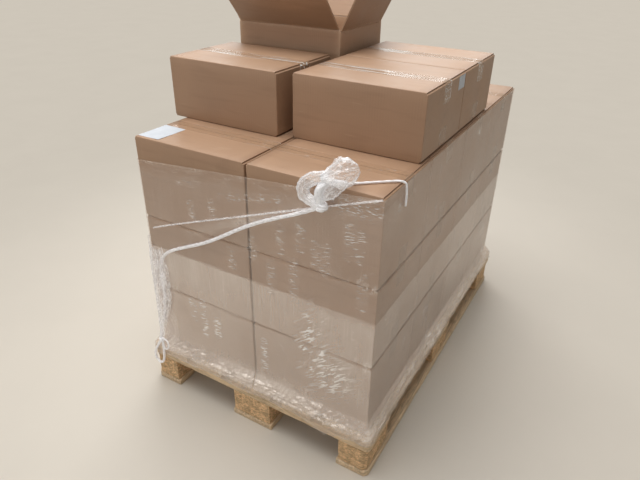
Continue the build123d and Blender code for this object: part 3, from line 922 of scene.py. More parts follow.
class LOAD_OT_flaps(bpy.types.Operator):
    """Make the four open flaps on their creases, with the flutes showing in their free ends"""

    bl_idname = "load.flaps"
    bl_label = "Open flaps"
    slot_depth = 3 * MM
    liner = 0.55 * MM
    corner = 5 * MM

    def execute(self, context):
        self.sizes = context.scene.load_sizes
        low, high = box("open_carton")
        self.reach = (high[1] - low[1] - self.sizes.board - self.sizes.seam_gap) / 2
        for turn, (body, joint) in enumerate(sorted(JOINTS.items())):
            self.turn, tilt = turn, radians(-joint["range_deg"][0] - 90)
            self.crease, self.axis = np.array(joint["pos_m"]), np.array(joint["axis"], float)
            self.out = np.cross(self.axis, (0, 0, 1)) * sin(tilt) + np.array([0, 0, cos(tilt)])
            flap_low, flap_high = box(body)
            self.wide = np.abs((flap_high - flap_low) @ self.axis) / 2
            skin = board_skin(body)
            self.leaf(skin)
            self.flutes(skin)
            skin.dress(kraft_board(), body, "corrugated_board", body, 40)
        return {"FINISHED"}

    def placed(self, out, side, level):
        """Points from the flap's own sizes: out from the crease, sideways along it and level through
        the board. Past two fifths of its reach the front and the back leaf curl back by the square
        of the rest, more at one end than at the other. A slow wave along the crease goes the same
        way on these, and the other way on the side leaves, so that closed ones never cross."""
        share = side / self.wide
        wave = 0.6 * MM * (1 + np.sin(share * 2.3 + self.turn)) * smooth_step(out, 0, self.reach)
        if self.turn < 2:
            rest = np.clip(out - 0.4 * self.reach, 0, None)
            uneven = 1 + 0.35 * share * (-1) ** self.turn
            wave = -np.tan(self.sizes.flap_bend) / (1.2 * self.reach) * rest**2 * uneven - wave
        across = np.cross(self.out, self.axis)
        ways = out[..., None] * self.out + side[..., None] * self.axis
        return self.crease + ways + (level + wave)[..., None] * across

    def shortened(self, side):
        """The leaf's reach at a place along the crease, less in its rounded corners."""
        beyond = np.clip(np.abs(side) - (self.wide - self.corner), 0, self.corner)
        return self.reach - (self.corner - np.sqrt(self.corner**2 - beyond**2))

    def leaf(self, skin):
        """The leaf's section, with a round root and a slot between its liners at the free end, is
        carried along the crease."""
        half, reach, wide = self.sizes.board / 2, self.reach, self.wide
        body = spread(0, reach - 4 * MM, 11 * MM)
        root = np.linspace(pi / 2, 3 * pi / 2, 7)[1:-1]
        slot, gap = reach - self.slot_depth, half - self.liner
        free_end = [reach, reach, slot, slot, reach, reach]
        out = np.concatenate([half * np.cos(root), body, free_end, body[::-1]])
        level = np.concatenate([
            half * np.sin(root), np.full(len(body), -half), [-half, -gap, -gap, gap, gap, half],
            np.full(len(body), half),
        ])
        ends = wide - self.corner * (1 - np.sin(np.linspace(0.25, 1, 4) * pi / 2))
        inner = spread(self.corner - wide, wide - self.corner, 16 * MM)
        side = np.concatenate([-ends[::-1], inner, ends])[:, None]
        out = out - (reach - self.shortened(side)) * smooth_step(out, reach - 12 * MM, reach - 4 * MM)
        side, level = np.broadcast_to(side, out.shape), np.broadcast_to(level, out.shape)
        wear = bell(out - reach, 3 * MM) + bell(out, 5 * MM) + bell(np.abs(side) - wide, 3 * MM)
        # The last flap is darker all over. On the front flap the part near the crease is darker and the
        # part past a domed line lighter: painted shade and light where the flap bends to the light.
        tone = np.full(out.shape, 0.4 if self.turn < 3 else -0.6)
        if self.turn == 1:
            tone += 1.6 * smooth_step(out / reach - 0.42 - 0.3 * (side / wide) ** 2, 0, 0.1) - 1.6
        # The slot between the liners is darkened by cut: painted shade in it.
        in_slot = bell(out - (slot + 1 * MM), 2 * MM) * (np.abs(level) < gap + 0.01 * MM)
        skin.rings(
            self.placed(out, side, level), uv=joined(side, out), wear=np.clip(wear, 0, 1), cut=in_slot,
            tone=tone,
        )

    def flutes(self, skin):
        """The waved sheet between the liners: a thin section carried along the crease with its
        level going up and down as a sine of the flutes' pitch."""
        pitch = self.sizes.flute_pitch
        side = spread(2 * MM - self.wide, self.wide - 2 * MM, pitch / 8)[:, None]
        swing = self.sizes.board / 2 - self.liner - 0.15 * MM
        thin = 0.14 * MM
        out = self.shortened(side) - 0.1 * MM - np.array([0, 0, 1, 1]) * self.slot_depth
        level = swing * np.sin(tau * side / pitch) + np.array([-thin, thin, thin, -thin])
        points = self.placed(out, np.broadcast_to(side, out.shape), level)
        # The flute sheet is a little darker by cut: painted shade between the liners.
        skin.rings(points, uv=joined(0, out), wear=0.3, cut=0.15, tone=0.4)


def pallet_box():
    """The pallet's own box, which its bottom boards reach all round."""
    boxes = [box(node) for node in nodes_of("bottom_board")]
    return np.min([low for low, _ in boxes], 0), np.max([high for _, high in boxes], 0)


class LOAD_OT_pallet_boards(bpy.types.Operator):
    """Make the pallet's boards, with rounded, chipped edges and cut corners"""

    bl_idname = "load.pallet_boards"
    bl_label = "Pallet boards"
    end_bevel = 6 * MM

    def execute(self, context):
        for node in nodes_of("deck_board", "stringer", "bottom_board"):
            along = 0 if node.startswith("stringer") else 1
            skin = Skin(node + "_sawn", "wear")
            self.board(skin, node, along, context.scene.load_sizes)
            skin.dress(sawn_wood("xy"[along]), ROOT, "pallet_board", node, 45)
        return {"FINISHED"}

    def board(self, skin, node, along, sizes):
        """A rounded section carried along the board. Its edges are worn inwards by noise that is
        strongest at the corners of the section, and near a corner of the pallet the side steps in
        at 45 degrees. Nothing stands outside the sawn size."""
        low, high = box(node)
        across = 1 - along
        size, seed = high - low, seed_of(node)
        profile, ways, _ = boxed_outline(size[across], size[2], 1.6 * MM, 12 * MM, corner_points=3)
        near_end = np.array([0, 0.8, 3, 6, 11, 16]) * MM
        body = spread(near_end[-1], size[along] - near_end[-1], 24 * MM)
        places = np.concatenate([near_end[:-1], body, (size[along] - near_end[:-1])[::-1]])[:, None]
        to_end = np.minimum(places, size[along] - places)
        section = profile - 1.1 * MM * (1 - smooth_step(to_end, 0, 0.8 * MM))[..., None] * ways
        rings = np.zeros((len(places), len(profile), 3))
        rings[..., along] = places - size[along] / 2
        rings[..., across], rings[..., 2] = section[..., 0], section[..., 1]
        for sign, edge, limit in zip((-1, 1), (low, high), pallet_box()):
            if abs(edge[across] - limit[across]) < 1 * MM:
                most = size[across] / 2 - np.clip(CORNER_CUT - to_end, 0, None)
                rings[..., across] = sign * np.minimum(rings[..., across] * sign, most)
        if node.startswith("bottom_board"):
            top = size[2] / 2 - np.clip(self.end_bevel - to_end, 0, None)
            rings[..., 2] = np.minimum(rings[..., 2], top)
        points = rings + (low + high) / 2
        corner = smooth_step((np.abs(profile) / size[[across, 2]] * 2).min(-1), 0.55, 0.95)
        chips = smooth_step(smooth_noise(points, 0.03, seed), 0.25, 0.85) * corner
        rough = 0.35 * MM * (1 + smooth_noise(points, 0.012, seed + 1))
        inwards = chips * sizes.edge_wear + rough * (0.3 + corner)
        points[..., [across, 2]] -= inwards[..., None] * ways
        skin.rings(points, wear=np.clip(chips + corner * 0.3, 0, 1))


class LOAD_OT_blocks(bpy.types.Operator):
    """Make the nine pressed blocks, rough at their edges"""

    bl_idname = "load.blocks"
    bl_label = "Pressed blocks"
    most_inset = (8 * MM, 2 * MM)

    def execute(self, context):
        for node in nodes_of("block_"):
            skin = Skin(node + "_pressed")
            self.block(skin, node)
            skin.dress(pressed_chips(), ROOT, "pressed_block", node, 60)
        return {"FINISHED"}

    def block(self, skin, node):
        """The block's plan, with the pallet's corner cut off where it has one, carried upwards. All
        points move inwards by coarse and fine noise, most at the edges. A block is at a corner of
        the pallet when it stands back from it by less than most_inset in X and in Y."""
        (low, high), seed = box(node), seed_of(node)
        pallet_low, pallet_high = pallet_box()
        size = high - low
        plan, ways, _ = boxed_outline(size[0], size[1], 2 * MM, 6 * MM, corner_points=3)
        for sign in np.array([(-1, -1), (-1, 1), (1, -1), (1, 1)]):
            gaps = np.abs(np.where(sign < 0, (low - pallet_low)[:2], (high - pallet_high)[:2]))
            if (gaps <= self.most_inset).all():
                over = np.clip(plan @ sign - size[:2].sum() / 2 + CORNER_CUT, 0, None)
                plan = plan - over[:, None] * sign / 2
        foot = np.array([0, 1.2 * MM])
        heights = np.concatenate([foot, spread(5 * MM, size[2] - 5 * MM, 6 * MM), size[2] - foot[::-1]])
        to_end = np.minimum(heights, size[2] - heights)[:, None]
        section = plan - 1.4 * MM * (1 - smooth_step(to_end, 0, 1.2 * MM))[..., None] * ways
        rings = joined(section[..., 0], section[..., 1], heights[:, None] - size[2] / 2)
        points = rings + (low + high) / 2
        edge = smooth_step((np.abs(plan) / size[:2] * 2).min(-1), 0.8, 0.98)
        worn = np.clip(edge + bell(to_end, 6 * MM), 0, 1)
        inwards = 0.55 * MM * (1 + smooth_noise(points, 0.006, seed))
        inwards += 2.6 * MM * worn * smooth_step(smooth_noise(points, 0.02, seed + 1), 0.1, 0.9)
        points[..., :2] -= inwards[..., None] * ways
        skin.rings(points)


class LOAD_OT_nails(bpy.types.Operator):
    """Set the nail heads into the deck and the bottom boards"""

    bl_idname = "load.nails"
    bl_label = "Nail heads"

    def execute(self, context):
        rng = np.random.default_rng(14)
        places = []
        for board in nodes_of("deck", "bottom"):
            low, high = box(board)
            down = board.startswith("bottom")
            for beam in ("stringer_front", "stringer_middle", "stringer_back"):
                beam_low, beam_high = box(beam)
                for share_x, share_y in ((0.22, 0.28), (0.5, 0.74), (0.78, 0.3)):
                    x = low[0] + share_x * (high[0] - low[0])
                    y = beam_low[1] + share_y * (beam_high[1] - beam_low[1])
                    x, y = np.array([x, y]) + rng.uniform(-5, 5, 2) * MM
                    places.append((x, y, low[2] + 0.2 * MM if down else high[2], -1 if down else 1))
        self.heads(np.array(places), context.scene.load_sizes.nail_radius)
        return {"FINISHED"}

    def heads(self, places, widest):
        """Low round heads with a slight dome: rings of twelve points, widest at the rim and closing
        in above it, all heads worked out at once."""
        turn = turns(12)
        radius = (np.array([0.8, 1, 0.85, 0.4]) * widest)[:, None]
        rise = np.array([-0.9, -0.15, 0.1, 0.16])[:, None] * MM
        x, y, z, up = places.T[..., None, None]
        skin = Skin("nail_heads")
        for head in joined(x + radius * np.cos(turn), y + radius * np.sin(turn), z + up * rise):
            skin.rings(head)
        skin.dress(nail_steel(), ROOT, "pallet_board", sharp=50)


class LOAD_OT_paper(bpy.types.Operator):
    """Lay the plain label and the sticker on their cartons"""

    bl_idname = "load.paper"
    bl_label = "Label and sticker"
    paper = 0.25 * MM

    def execute(self, context):
        solid = points_of(frame["nodes"]["paper_labels"].data)
        on_top = solid[:, 0] < 0
        skin = Skin("plain_labels")
        self.leaf(skin, solid[on_top], 2, "carton_tier3_row1_left", 0.9 * MM)
        self.leaf(skin, solid[~on_top], 0, "low_carton_right_front", 0.3 * MM)
        skin.dress(label_paper(), ROOT, "label_paper", "paper_labels", 50)
        return {"FINISHED"}

    def leaf(self, skin, solid, through, carton, curl):
        """A thin sheet over the solid's outline, moved as the carton's board is. Towards one corner
        it lifts by the fourth power of the way out."""
        low, high = solid.min(0), solid.max(0)
        share = np.linspace(0, 1, 13)
        sides = [axis for axis in range(3) if axis != through]
        shares = joined(share[:, None], share)
        sheet = np.zeros((len(share), len(share), 3))
        sheet[..., sides] = low[sides] + shares * (high - low)[sides]
        sheet[..., through] = low[through]
        lift = curl * np.clip((shares[..., 0] - shares[..., 1]) * 1.2, 0, 1) ** 4
        base = settled(sheet, *box(carton), seed_of(carton))
        base[..., through] += 0.05 * MM + lift
        above = base + self.paper * np.eye(3)[through]
        skin.rings(np.concatenate([above, base[:, ::-1]], axis=1))


# The film


def outline_places(steps, corner_points=5):
    """Places round a rounded rectangle that can be sized later: for each, how far out it is on the
    straight part in X and Y, from -1 to 1, and its outward direction. Front, right, back, left."""
    parts = []
    for side, step in enumerate(steps):
        turn = (side - 1) * pi / 2
        facing, forward = np.array([cos(turn), sin(turn)]), np.array([-sin(turn), cos(turn)])
        flat = facing + np.linspace(-1, 1, step)[:, None] * forward
        parts.append(np.column_stack([flat, np.repeat(facing[None], step, 0)]))
        angle = turn + np.linspace(0, pi / 2, corner_points + 2)[1:-1]
        corner = np.repeat((facing + forward)[None], corner_points, 0)
        parts.append(np.column_stack([corner, np.cos(angle), np.sin(angle)]))
    return np.concatenate(parts)


def oval(x, z, centre, size):
    """An oval patch on the front: a bell in X times a bell in Z."""
    return bell(x - centre[0], size[0]) * bell(z - centre[1], size[1])


def segment_distance(x, z, first, second):
    """How far points lie from a straight stretch. Its two ends are given in millimetres."""
    first, second = np.array(first) * MM, np.array(second) * MM
    run = second - first
    share = np.clip(((x - first[0]) * run[0] + (z - first[1]) * run[1]) / (run @ run), 0, 1)
    return np.hypot(x - first[0] - share * run[0], z - first[1] - share * run[1])


class LOAD_OT_film(bpy.types.Operator):
    """Stretch the clear film round the load, with its wrinkles, folds, haze and torn hem"""

    bl_idname = "load.film"
    bl_label = "Stretch film"
    stand_off = 0.6 * MM
    flare_top = 192 * MM
    lower_zone = 215 * MM
    top_at_middle = 826 * MM
    top_slope = 0.083
    overlap_top = 525 * MM
    side_columns = 118
    back_columns = 74
    low_rows = 41
    hem_height = 124 * MM
    torn_at = 250 * MM
    torn_width = 72.8 * MM
    gather_foot = (-353 * MM, -600.5 * MM)
    gather_foot_width = 18 * MM
    glint_width = 14 * MM
    glint_fade = 20 * MM
    # on the front: columns of glints as x, lowest and highest z, in millimetres
    glint_columns = (
        (109, 646, 716), (169, 671, 733), (212, 639, 700), (241, 625, 699), (301, 691, 770),
        (78, 516, 600), (148, 529, 629), (-181, 658, 706), (-106, 684, 728), (-50, 550, 603),
        (-218, 307, 372), (-176, 260, 382), (-126, 276, 332), (20, 600, 660), (340, 560, 650),
        (45, 230, 330), (330, 690, 760),
    )
    # folds as straight stretches between two points, x and z in millimetres
    folds = (
        ((215, 497), (346, 448)), ((215, 497), (185, 187)), ((104, 347), (144, 245)),
        ((144, 245), (185, 187)), ((7, 404), (198, 481)), ((78, 377), (104, 347)),
        ((-20, 760), (120, 790)), ((346, 448), (300, 250)), ((-73, 752), (-10, 764)),
        ((250, 640), (372, 668)), ((-270, 545), (-60, 640)), ((240, 800), (376, 812)),
    )

    # the web by the knot and a line of flat painted glints, given as the folds are
    web_line = ((-210, 610), (220, 798))
    dash_line = ((-75, 752), (110, 790))

    def execute(self, context):
        self.sizes = context.scene.load_sizes
        self.tiers = [box(f"carton_tier{tier}_row1_left")[0][2] for tier in (2, 3)]
        self.gap = (box("carton_tier1_row1_left")[1][0] + box("carton_tier1_row1_right")[0][0]) / 2
        side, back = self.side_columns, self.back_columns
        places = outline_places((self.sizes.film_columns, side, back, side))
        upper = self.around(places, "carton_tier1_row1_left", "carton_tier3_row4_right", 2.5 * MM)
        lower = self.around(places, "deck_board_1", "deck_board_5", 14 * MM)
        deck = box("deck_board_5")[1][2]
        run = arc_length(upper)
        top = self.top_at_middle + self.top_slope * upper[:, 0]
        bottom = self.hem(upper, run)
        low_rise = np.linspace(0, 1, self.low_rows + 1)[:-1, None]
        high_rise = np.linspace(0, 1, self.sizes.film_rows)[:, None]
        z = np.concatenate([
            bottom + (self.lower_zone - bottom) * low_rise,
            self.lower_zone + (top - self.lower_zone) * high_rise,
        ])
        share = np.clip((z - deck) / (self.flare_top - deck), 0, 1)[..., None]
        plan = lower + (upper - lower) * share
        height, marks = self.relief(plan[..., 0], run, places, z, top, bottom)
        plan += height[..., None] * places[:, 2:]
        skin = Skin("stretch_film_sleeve", *marks)
        skin.grid(joined(plan[..., 0], plan[..., 1], z), around=True, uv=joined(run, z), **marks)
        sleeve = skin.dress(clear_film(), ROOT, "stretch_film", "stretch_film")
        self.gather(sleeve)
        return {"FINISHED"}

    def around(self, places, first, last, radius):
        """The places round the plan of two solids and what lies between them, a little off it."""
        low, high = box(first)[0][:2], box(last)[1][:2]
        half = (high - low) / 2 + self.stand_off
        return (low + high) / 2 + places[:, :2] * (half - radius) + places[:, 2:] * radius

    def gather(self, sleeve):
        """The film's loose end over the front left corner: an open sheet, pulled together at its foot
        and fanning upwards. In plan it runs from the left side round the corner to the front. Pleats
        are a sine across it whose phase drifts, and ridged noise crumples them."""
        up, over = np.meshgrid(np.linspace(0, 1, 170), np.linspace(0, 1, 110), indexing="ij")
        corner = box("carton_tier1_row1_left")[0]
        shares = (0, 0.22, 0.42, 0.7, 1)
        plan_x = np.interp(over, shares, np.array([-1, -9, 2, 26, 62]) * MM)
        plan_y = np.interp(over, shares, np.array([26, 0, -10, -8, -4.5]) * MM)
        foot_x = self.gather_foot[0] + (over - 0.5) * self.gather_foot_width
        foot_y = self.gather_foot[1]
        open_up = smooth_step(up, -0.1, 0.55)
        narrow = 1 - smooth_step(up, 0.78, 1)
        x = foot_x + (corner[0] + plan_x * (0.75 + 0.25 * narrow) - foot_x) * open_up
        y = foot_y + (corner[1] + plan_y * (0.45 + 0.55 * narrow) - foot_y) * open_up
        z = 0.19 + 0.345 * up + 0.02 * np.sin(over * 5 + 1) * up
        spot = joined(over * 0.1, z, 0)
        phase = 3.2 * smooth_noise(spot, (0.05, 0.09, 1), 61)
        depth = (2.2 + 1.4 * smooth_noise(spot, (0.02, 0.06, 1), 62)) * MM
        out = depth * np.sin(tau * 8 * over + phase) + 3.2 * MM * ridges(spot, (0.008, 0.034, 1), 63)
        out += 1.4 * MM * ridges(spot, (0.004, 0.012, 1), 64)
        out *= (0.35 + 0.65 * open_up) * (0.3 + 0.7 * smooth_step(over, 0, 0.1))
        x -= out * (1 - smooth_step(over, 0.1, 0.4))
        y -= out * (0.35 + 0.65 * smooth_step(over, 0.1, 0.4))
        edge = smooth_step(np.minimum(over, 1 - over), 0, 0.12)
        lumps = smooth_step(smooth_noise(spot, (0.03, 0.035, 1), 65), -0.3, 0.6)
        leaning = joined(over * 0.1 + 0.12 * z, z, 0)
        crest = (0.1 + 1.15 * ridges(leaning, (0.007, 0.045, 1), 66)) * (0.45 + 0.55 * lumps) * edge
        skin = Skin("gathered_film_end", "thin", "crest")
        skin.grid(joined(x, y, z), uv=joined(over * 0.14, z), thin=0.97, crest=np.clip(crest, 0, 1))
        piece = skin.dress(gathered_film(), ROOT, "stretch_film")

    def hem(self, upper, run):
        """The hem's height all round: a middle height with slow and quick noise. On the front a torn
        part hangs lower at the right of the middle, and the film at the left corner a little."""
        line = joined(run, 0, 0)
        middle = self.hem_height + 4 * MM * smooth_noise(line, 0.11, 3)
        middle += 3 * MM * smooth_noise(line, 0.025, 4)
        front = bell(upper[:, 1] - upper[:, 1].min(), 10 * MM)
        torn = bell(upper[:, 0] - self.torn_at, self.torn_width) ** 2
        torn *= 0.75 + 0.35 * smooth_noise(line, 0.014, 5)
        corner = bell(upper[:, 0] + 0.36, 0.03)
        return middle - self.sizes.film_hang * front * (torn + 0.5 * corner)

    def relief(self, x, run, places, z, top, bottom):
        """How far the film stands off its plain sleeve, and its marks. Fine lines are drawn upwards
        by stretched noise. Each other form is a place on the film times ridges there: crinkles at
        the deck's edge, rolls along both hems, pleats in the gather at the front left, slanted and
        crumpled folds at the right, a pulled seam and scattered patches. It adds a share to the
        height and another, of its ridges to a power, to the crests."""
        line = joined(run, z, 0)
        diagonal = joined(x - z, x + z, 0)
        slant = joined(line[..., 0] + 0.6 * z, z - 0.5 * line[..., 0], 0)
        front = np.clip(-places[:, 3], 0, 1) ** 4
        elsewhere = 1 - front
        broad = smooth_noise(line, (0.2, 0.16, 1), 12)
        drawn = np.clip(smooth_noise(line, (0.013, 0.12, 1), 11), 0, 1) * (0.5 + 0.5 * broad)
        deck = bell(z - 0.155, 0.026) * (0.5 + 0.5 * smooth_noise(line, (0.05, 0.03, 1), 13))
        deck_ridges = ridges(slant, (0.016, 0.009, 1), 14) + 0.9 * ridges(line, (0.12, 0.007, 1), 24)
        rolled = bell(top - z, 0.0055) + 0.6 * bell(z - bottom, 0.004)
        gather = front * bell(x + 0.335, 0.036) * span(z, 0.11, 0.19, 0.46, 0.56)
        pleats = ridges(joined(run + 0.03 * np.sin(z * 22), z, 0), (0.009, 0.11, 1), 16)
        slanted = front * oval(x, z, (0.205, 0.37), (0.042, 0.1))
        crumpled = front * oval(x, z, (0.262, 0.3), (0.055, 0.055))
        seam = front * (0.3 + bell(x - 0.365, 0.05)) * bell(z - 0.624, 0.011)
        seam += front * oval(x, z, (0.37, 0.383), (0.012, 0.016))
        seam += 0.4 * elsewhere * bell(z - 0.622, 0.008)
        patches = smooth_step(smooth_noise(line, (0.17, 0.2, 1), 20), 0.35, 0.8)
        patches *= 0.35 + 0.65 * elsewhere
        patch_ridges = ridges(diagonal + line, (0.016, 0.05, 1), 21)
        fold = sum(front * bell(segment_distance(x, z, *ends), 3 * MM) for ends in self.folds)
        fold = np.clip(fold * smooth_step(smooth_noise(line, (0.03, 0.03, 1), 27), -0.1, 0.7) * 0.5, 0, 1)
        web = bell(segment_distance(x, z, *self.web_line), 0.016)
        web *= front * span(x, -0.3, 0.05, 0.06, 0.22)
        # Flat painted glints under the top edge at the right and along the dash line.
        flat_glints = front * smooth_step(x, 0.2, 0.3) * bell(z - (top - 0.028), 0.028)
        flat_glints += 1.3 * front * bell(segment_distance(x, z, *self.dash_line), 0.009)
        height = 0.55 * MM * drawn + 1.6 * MM * fold
        crest = 0.6 * fold + 0.4 * web * ridges(line, (0.05, 0.01, 1), 25)
        for where, sharp, high, pale, power in (
            (deck, deck_ridges, 1, 0.38 - 0.14 * front * smooth_step(x, 0.18, 0.28), 1.5),
            (1 - smooth_step(z, 0.15, 0.235), patch_ridges, 0.5, 0.2, 1),
            (rolled, 1, 0.28, 0.45, 1),
            (bell(top - z, 0.035), ridges(line, (0.09, 0.008, 1), 15), 0.3, 0.5, 1),
            (gather, pleats, 0.4, 0.6, 1),
            (slanted, ridges(diagonal, (0.012, 0.07, 1), 17), 0.75, 0.5, 1.5),
            (crumpled, ridges(diagonal, (0.02, 0.026, 1), 18), 1, 0.6, 1.3),
            (seam, ridges(line, (0.012, 0.012, 1), 19), 0.55, 1.1, 1),
            (patches, patch_ridges, 0.3, 0.3, 2),
        ):
            height = height + self.sizes.wrinkle * high * where * sharp
            crest = crest + pale * where * sharp**power
        # Slanted painted glints: strokes in the slanted patch, the crumpled patch and along the deck.
        slanted_glints = 1.2 * slanted * smooth_noise(diagonal, (0.03, 0.03, 1), 26) + 0.5 * slanted
        marks = {
            "haze": self.haze(x, z, top, front, places, broad, gather, web), "crest": crest,
            "glint": self.glint(x, z, top, front, line), "flat_glints": flat_glints,
            "slanted_glints": np.clip(slanted_glints, 0, 1) + crumpled + 0.22 * deck,
        }
        return height, {name: np.clip(mark, 0, 1) for name, mark in marks.items()}

    def glint(self, x, z, top, front, line):
        """Where upright columns of painted glints lie: the given ones on the front, scattered ones on the
        other sides, and a band under the top edge."""
        glint = 0.7 * (1 - front) * smooth_step(smooth_noise(line, (0.02, 0.1, 1), 22), 0.5, 0.8)
        for across, low, high in np.array(self.glint_columns) * MM:
            upright = span(z, low - self.glint_fade, low, high, high + self.glint_fade)
            glint += front * bell(x - across, self.glint_width) * upright
        band = smooth_step(smooth_noise(line, (0.09, 0.05, 1), 23), 0, 0.5)
        return glint + 0.6 * front * bell(z - (top - 0.045), 0.016) * band

    def haze(self, x, z, top, front, places, broad, gather, web):
        """How white the film is: more where turns of it overlap, at the foot of the front, in a patch
        at the right, in the gather and in the web by the knot. It is less at both hems and where
        the film bridges the gaps between the tiers and between the two columns of cartons."""
        thick = 0.7 + 0.3 * smooth_step(z, 0.3, self.overlap_top) * (1 - smooth_step(x, -0.1, 0.38))
        thick *= 1 - smooth_step(z, self.overlap_top - 3 * MM, self.overlap_top + 3 * MM)
        patch = front * smooth_step(x, 0.2, 0.23) * span(z, 0.2, 0.3, 0.5, 0.52)
        foot = front * oval(x, z, (0.05, 0.175), (0.16, 0.04))
        haze = 0.24 + 0.2 * foot + 0.04 * broad + 0.36 * thick + 0.08 * patch + 0.15 * gather + 0.28 * web
        haze *= 0.55 + 0.45 * smooth_step(z, 0.135, 0.15)
        haze *= 0.5 + 0.5 * smooth_step(top - z, 0, 0.05)
        haze *= 1 - 0.6 * bell(z - self.tiers[0], 3 * MM) - 0.8 * bell(z - self.tiers[1], 4 * MM)
        return haze * (1 - 0.5 * (front + places[:, 3].clip(0) ** 4) * bell(x - self.gap, 3 * MM))


# Cords of gathered film: their routes in metres

ROPE_ROUTE = (
    (-0.355, -0.60445, 0.19185), (-0.352, -0.59545, 0.226), (-0.344, -0.58945, 0.262),
    (-0.334, -0.58745, 0.306), (-0.328, -0.58645, 0.356), (-0.329, -0.58645, 0.408),
    (-0.328, -0.58645, 0.458), (-0.311, -0.58645, 0.502), (-0.274, -0.58745, 0.533),
    (-0.215, -0.58645, 0.562), (-0.135, -0.58645, 0.6), (-0.06, -0.58645, 0.648),
    (0.015, -0.58645, 0.697), (0.095, -0.58945, 0.74), (0.165, -0.59245, 0.772),
    (0.224, -0.59345, 0.804),
)
STRAND_ROUTE = (
    (-0.334, -0.58395, 0.59), (-0.262, -0.58495, 0.621), (-0.02, -0.58395, 0.71),
    (0.238, -0.58395, 0.808), (0.376, -0.58395, 0.857),
)
TOP_ROPE_ROUTE = (
    (0.25, -0.5878, 0.86515), (0.298, -0.547, 0.86515), (0.348, -0.503, 0.86515),
    (0.38375, -0.478, 0.86615), (0.38575, -0.471, 0.84245), (0.38475, -0.468, 0.79945),
)
TAIL_ROUTE = (
    (-0.358, -0.60445, 0.175), (-0.371, -0.60645, 0.151), (-0.387, -0.60845, 0.124),
    (-0.391, -0.60845, 0.099), (-0.381, -0.60845, 0.08), (-0.363, -0.60845, 0.078),
    (-0.351, -0.60845, 0.099), (-0.348, -0.60645, 0.136), (-0.35, -0.60445, 0.175),
)


def twist_film(skin, line, run, radius, lobes, twist, seed, reference=(0, 1, 0), thin=0.15):
    """A cord of twisted film along a line: round it the radius swells into lobes by the size of a
    cosine, the lobes wind with the way along, and noise makes each bulge differ."""
    turn = turns(28)
    run = run[:, None]
    swell = 0.74 + 0.3 * np.abs(np.cos(lobes / 2 * (turn + twist * run))) ** 0.7
    ring = joined(np.cos(turn) * 0.01, np.sin(turn) * 0.01, run)
    swell += 0.1 * smooth_noise(ring, (0.006, 0.006, 0.012), seed)
    swell += 0.05 * smooth_noise(ring, (0.003, 0.003, 0.004), seed + 1)
    out = (np.reshape(radius, (-1, 1)) * swell)[..., None]
    points = line[:, None] + out * ways_round(line, reference, turn)
    thin = np.broadcast_to(thin, swell.shape)
    skin.rings(points, uv=joined(np.mean(radius) * turn, run), thin=thin)


def coil(centre, radius, turns, count, depth, base, climb, lean):
    """The line of a cord wound round an upright axis: it climbs evenly from its base, leans by its
    place in X, and is flatter in Y where depth is under 1."""
    share = np.linspace(0, 1, count)
    x, y = radius * np.cos(tau * turns * share), depth * radius * np.sin(tau * turns * share)
    return centre + joined(x, y, base + climb * share + lean * x)


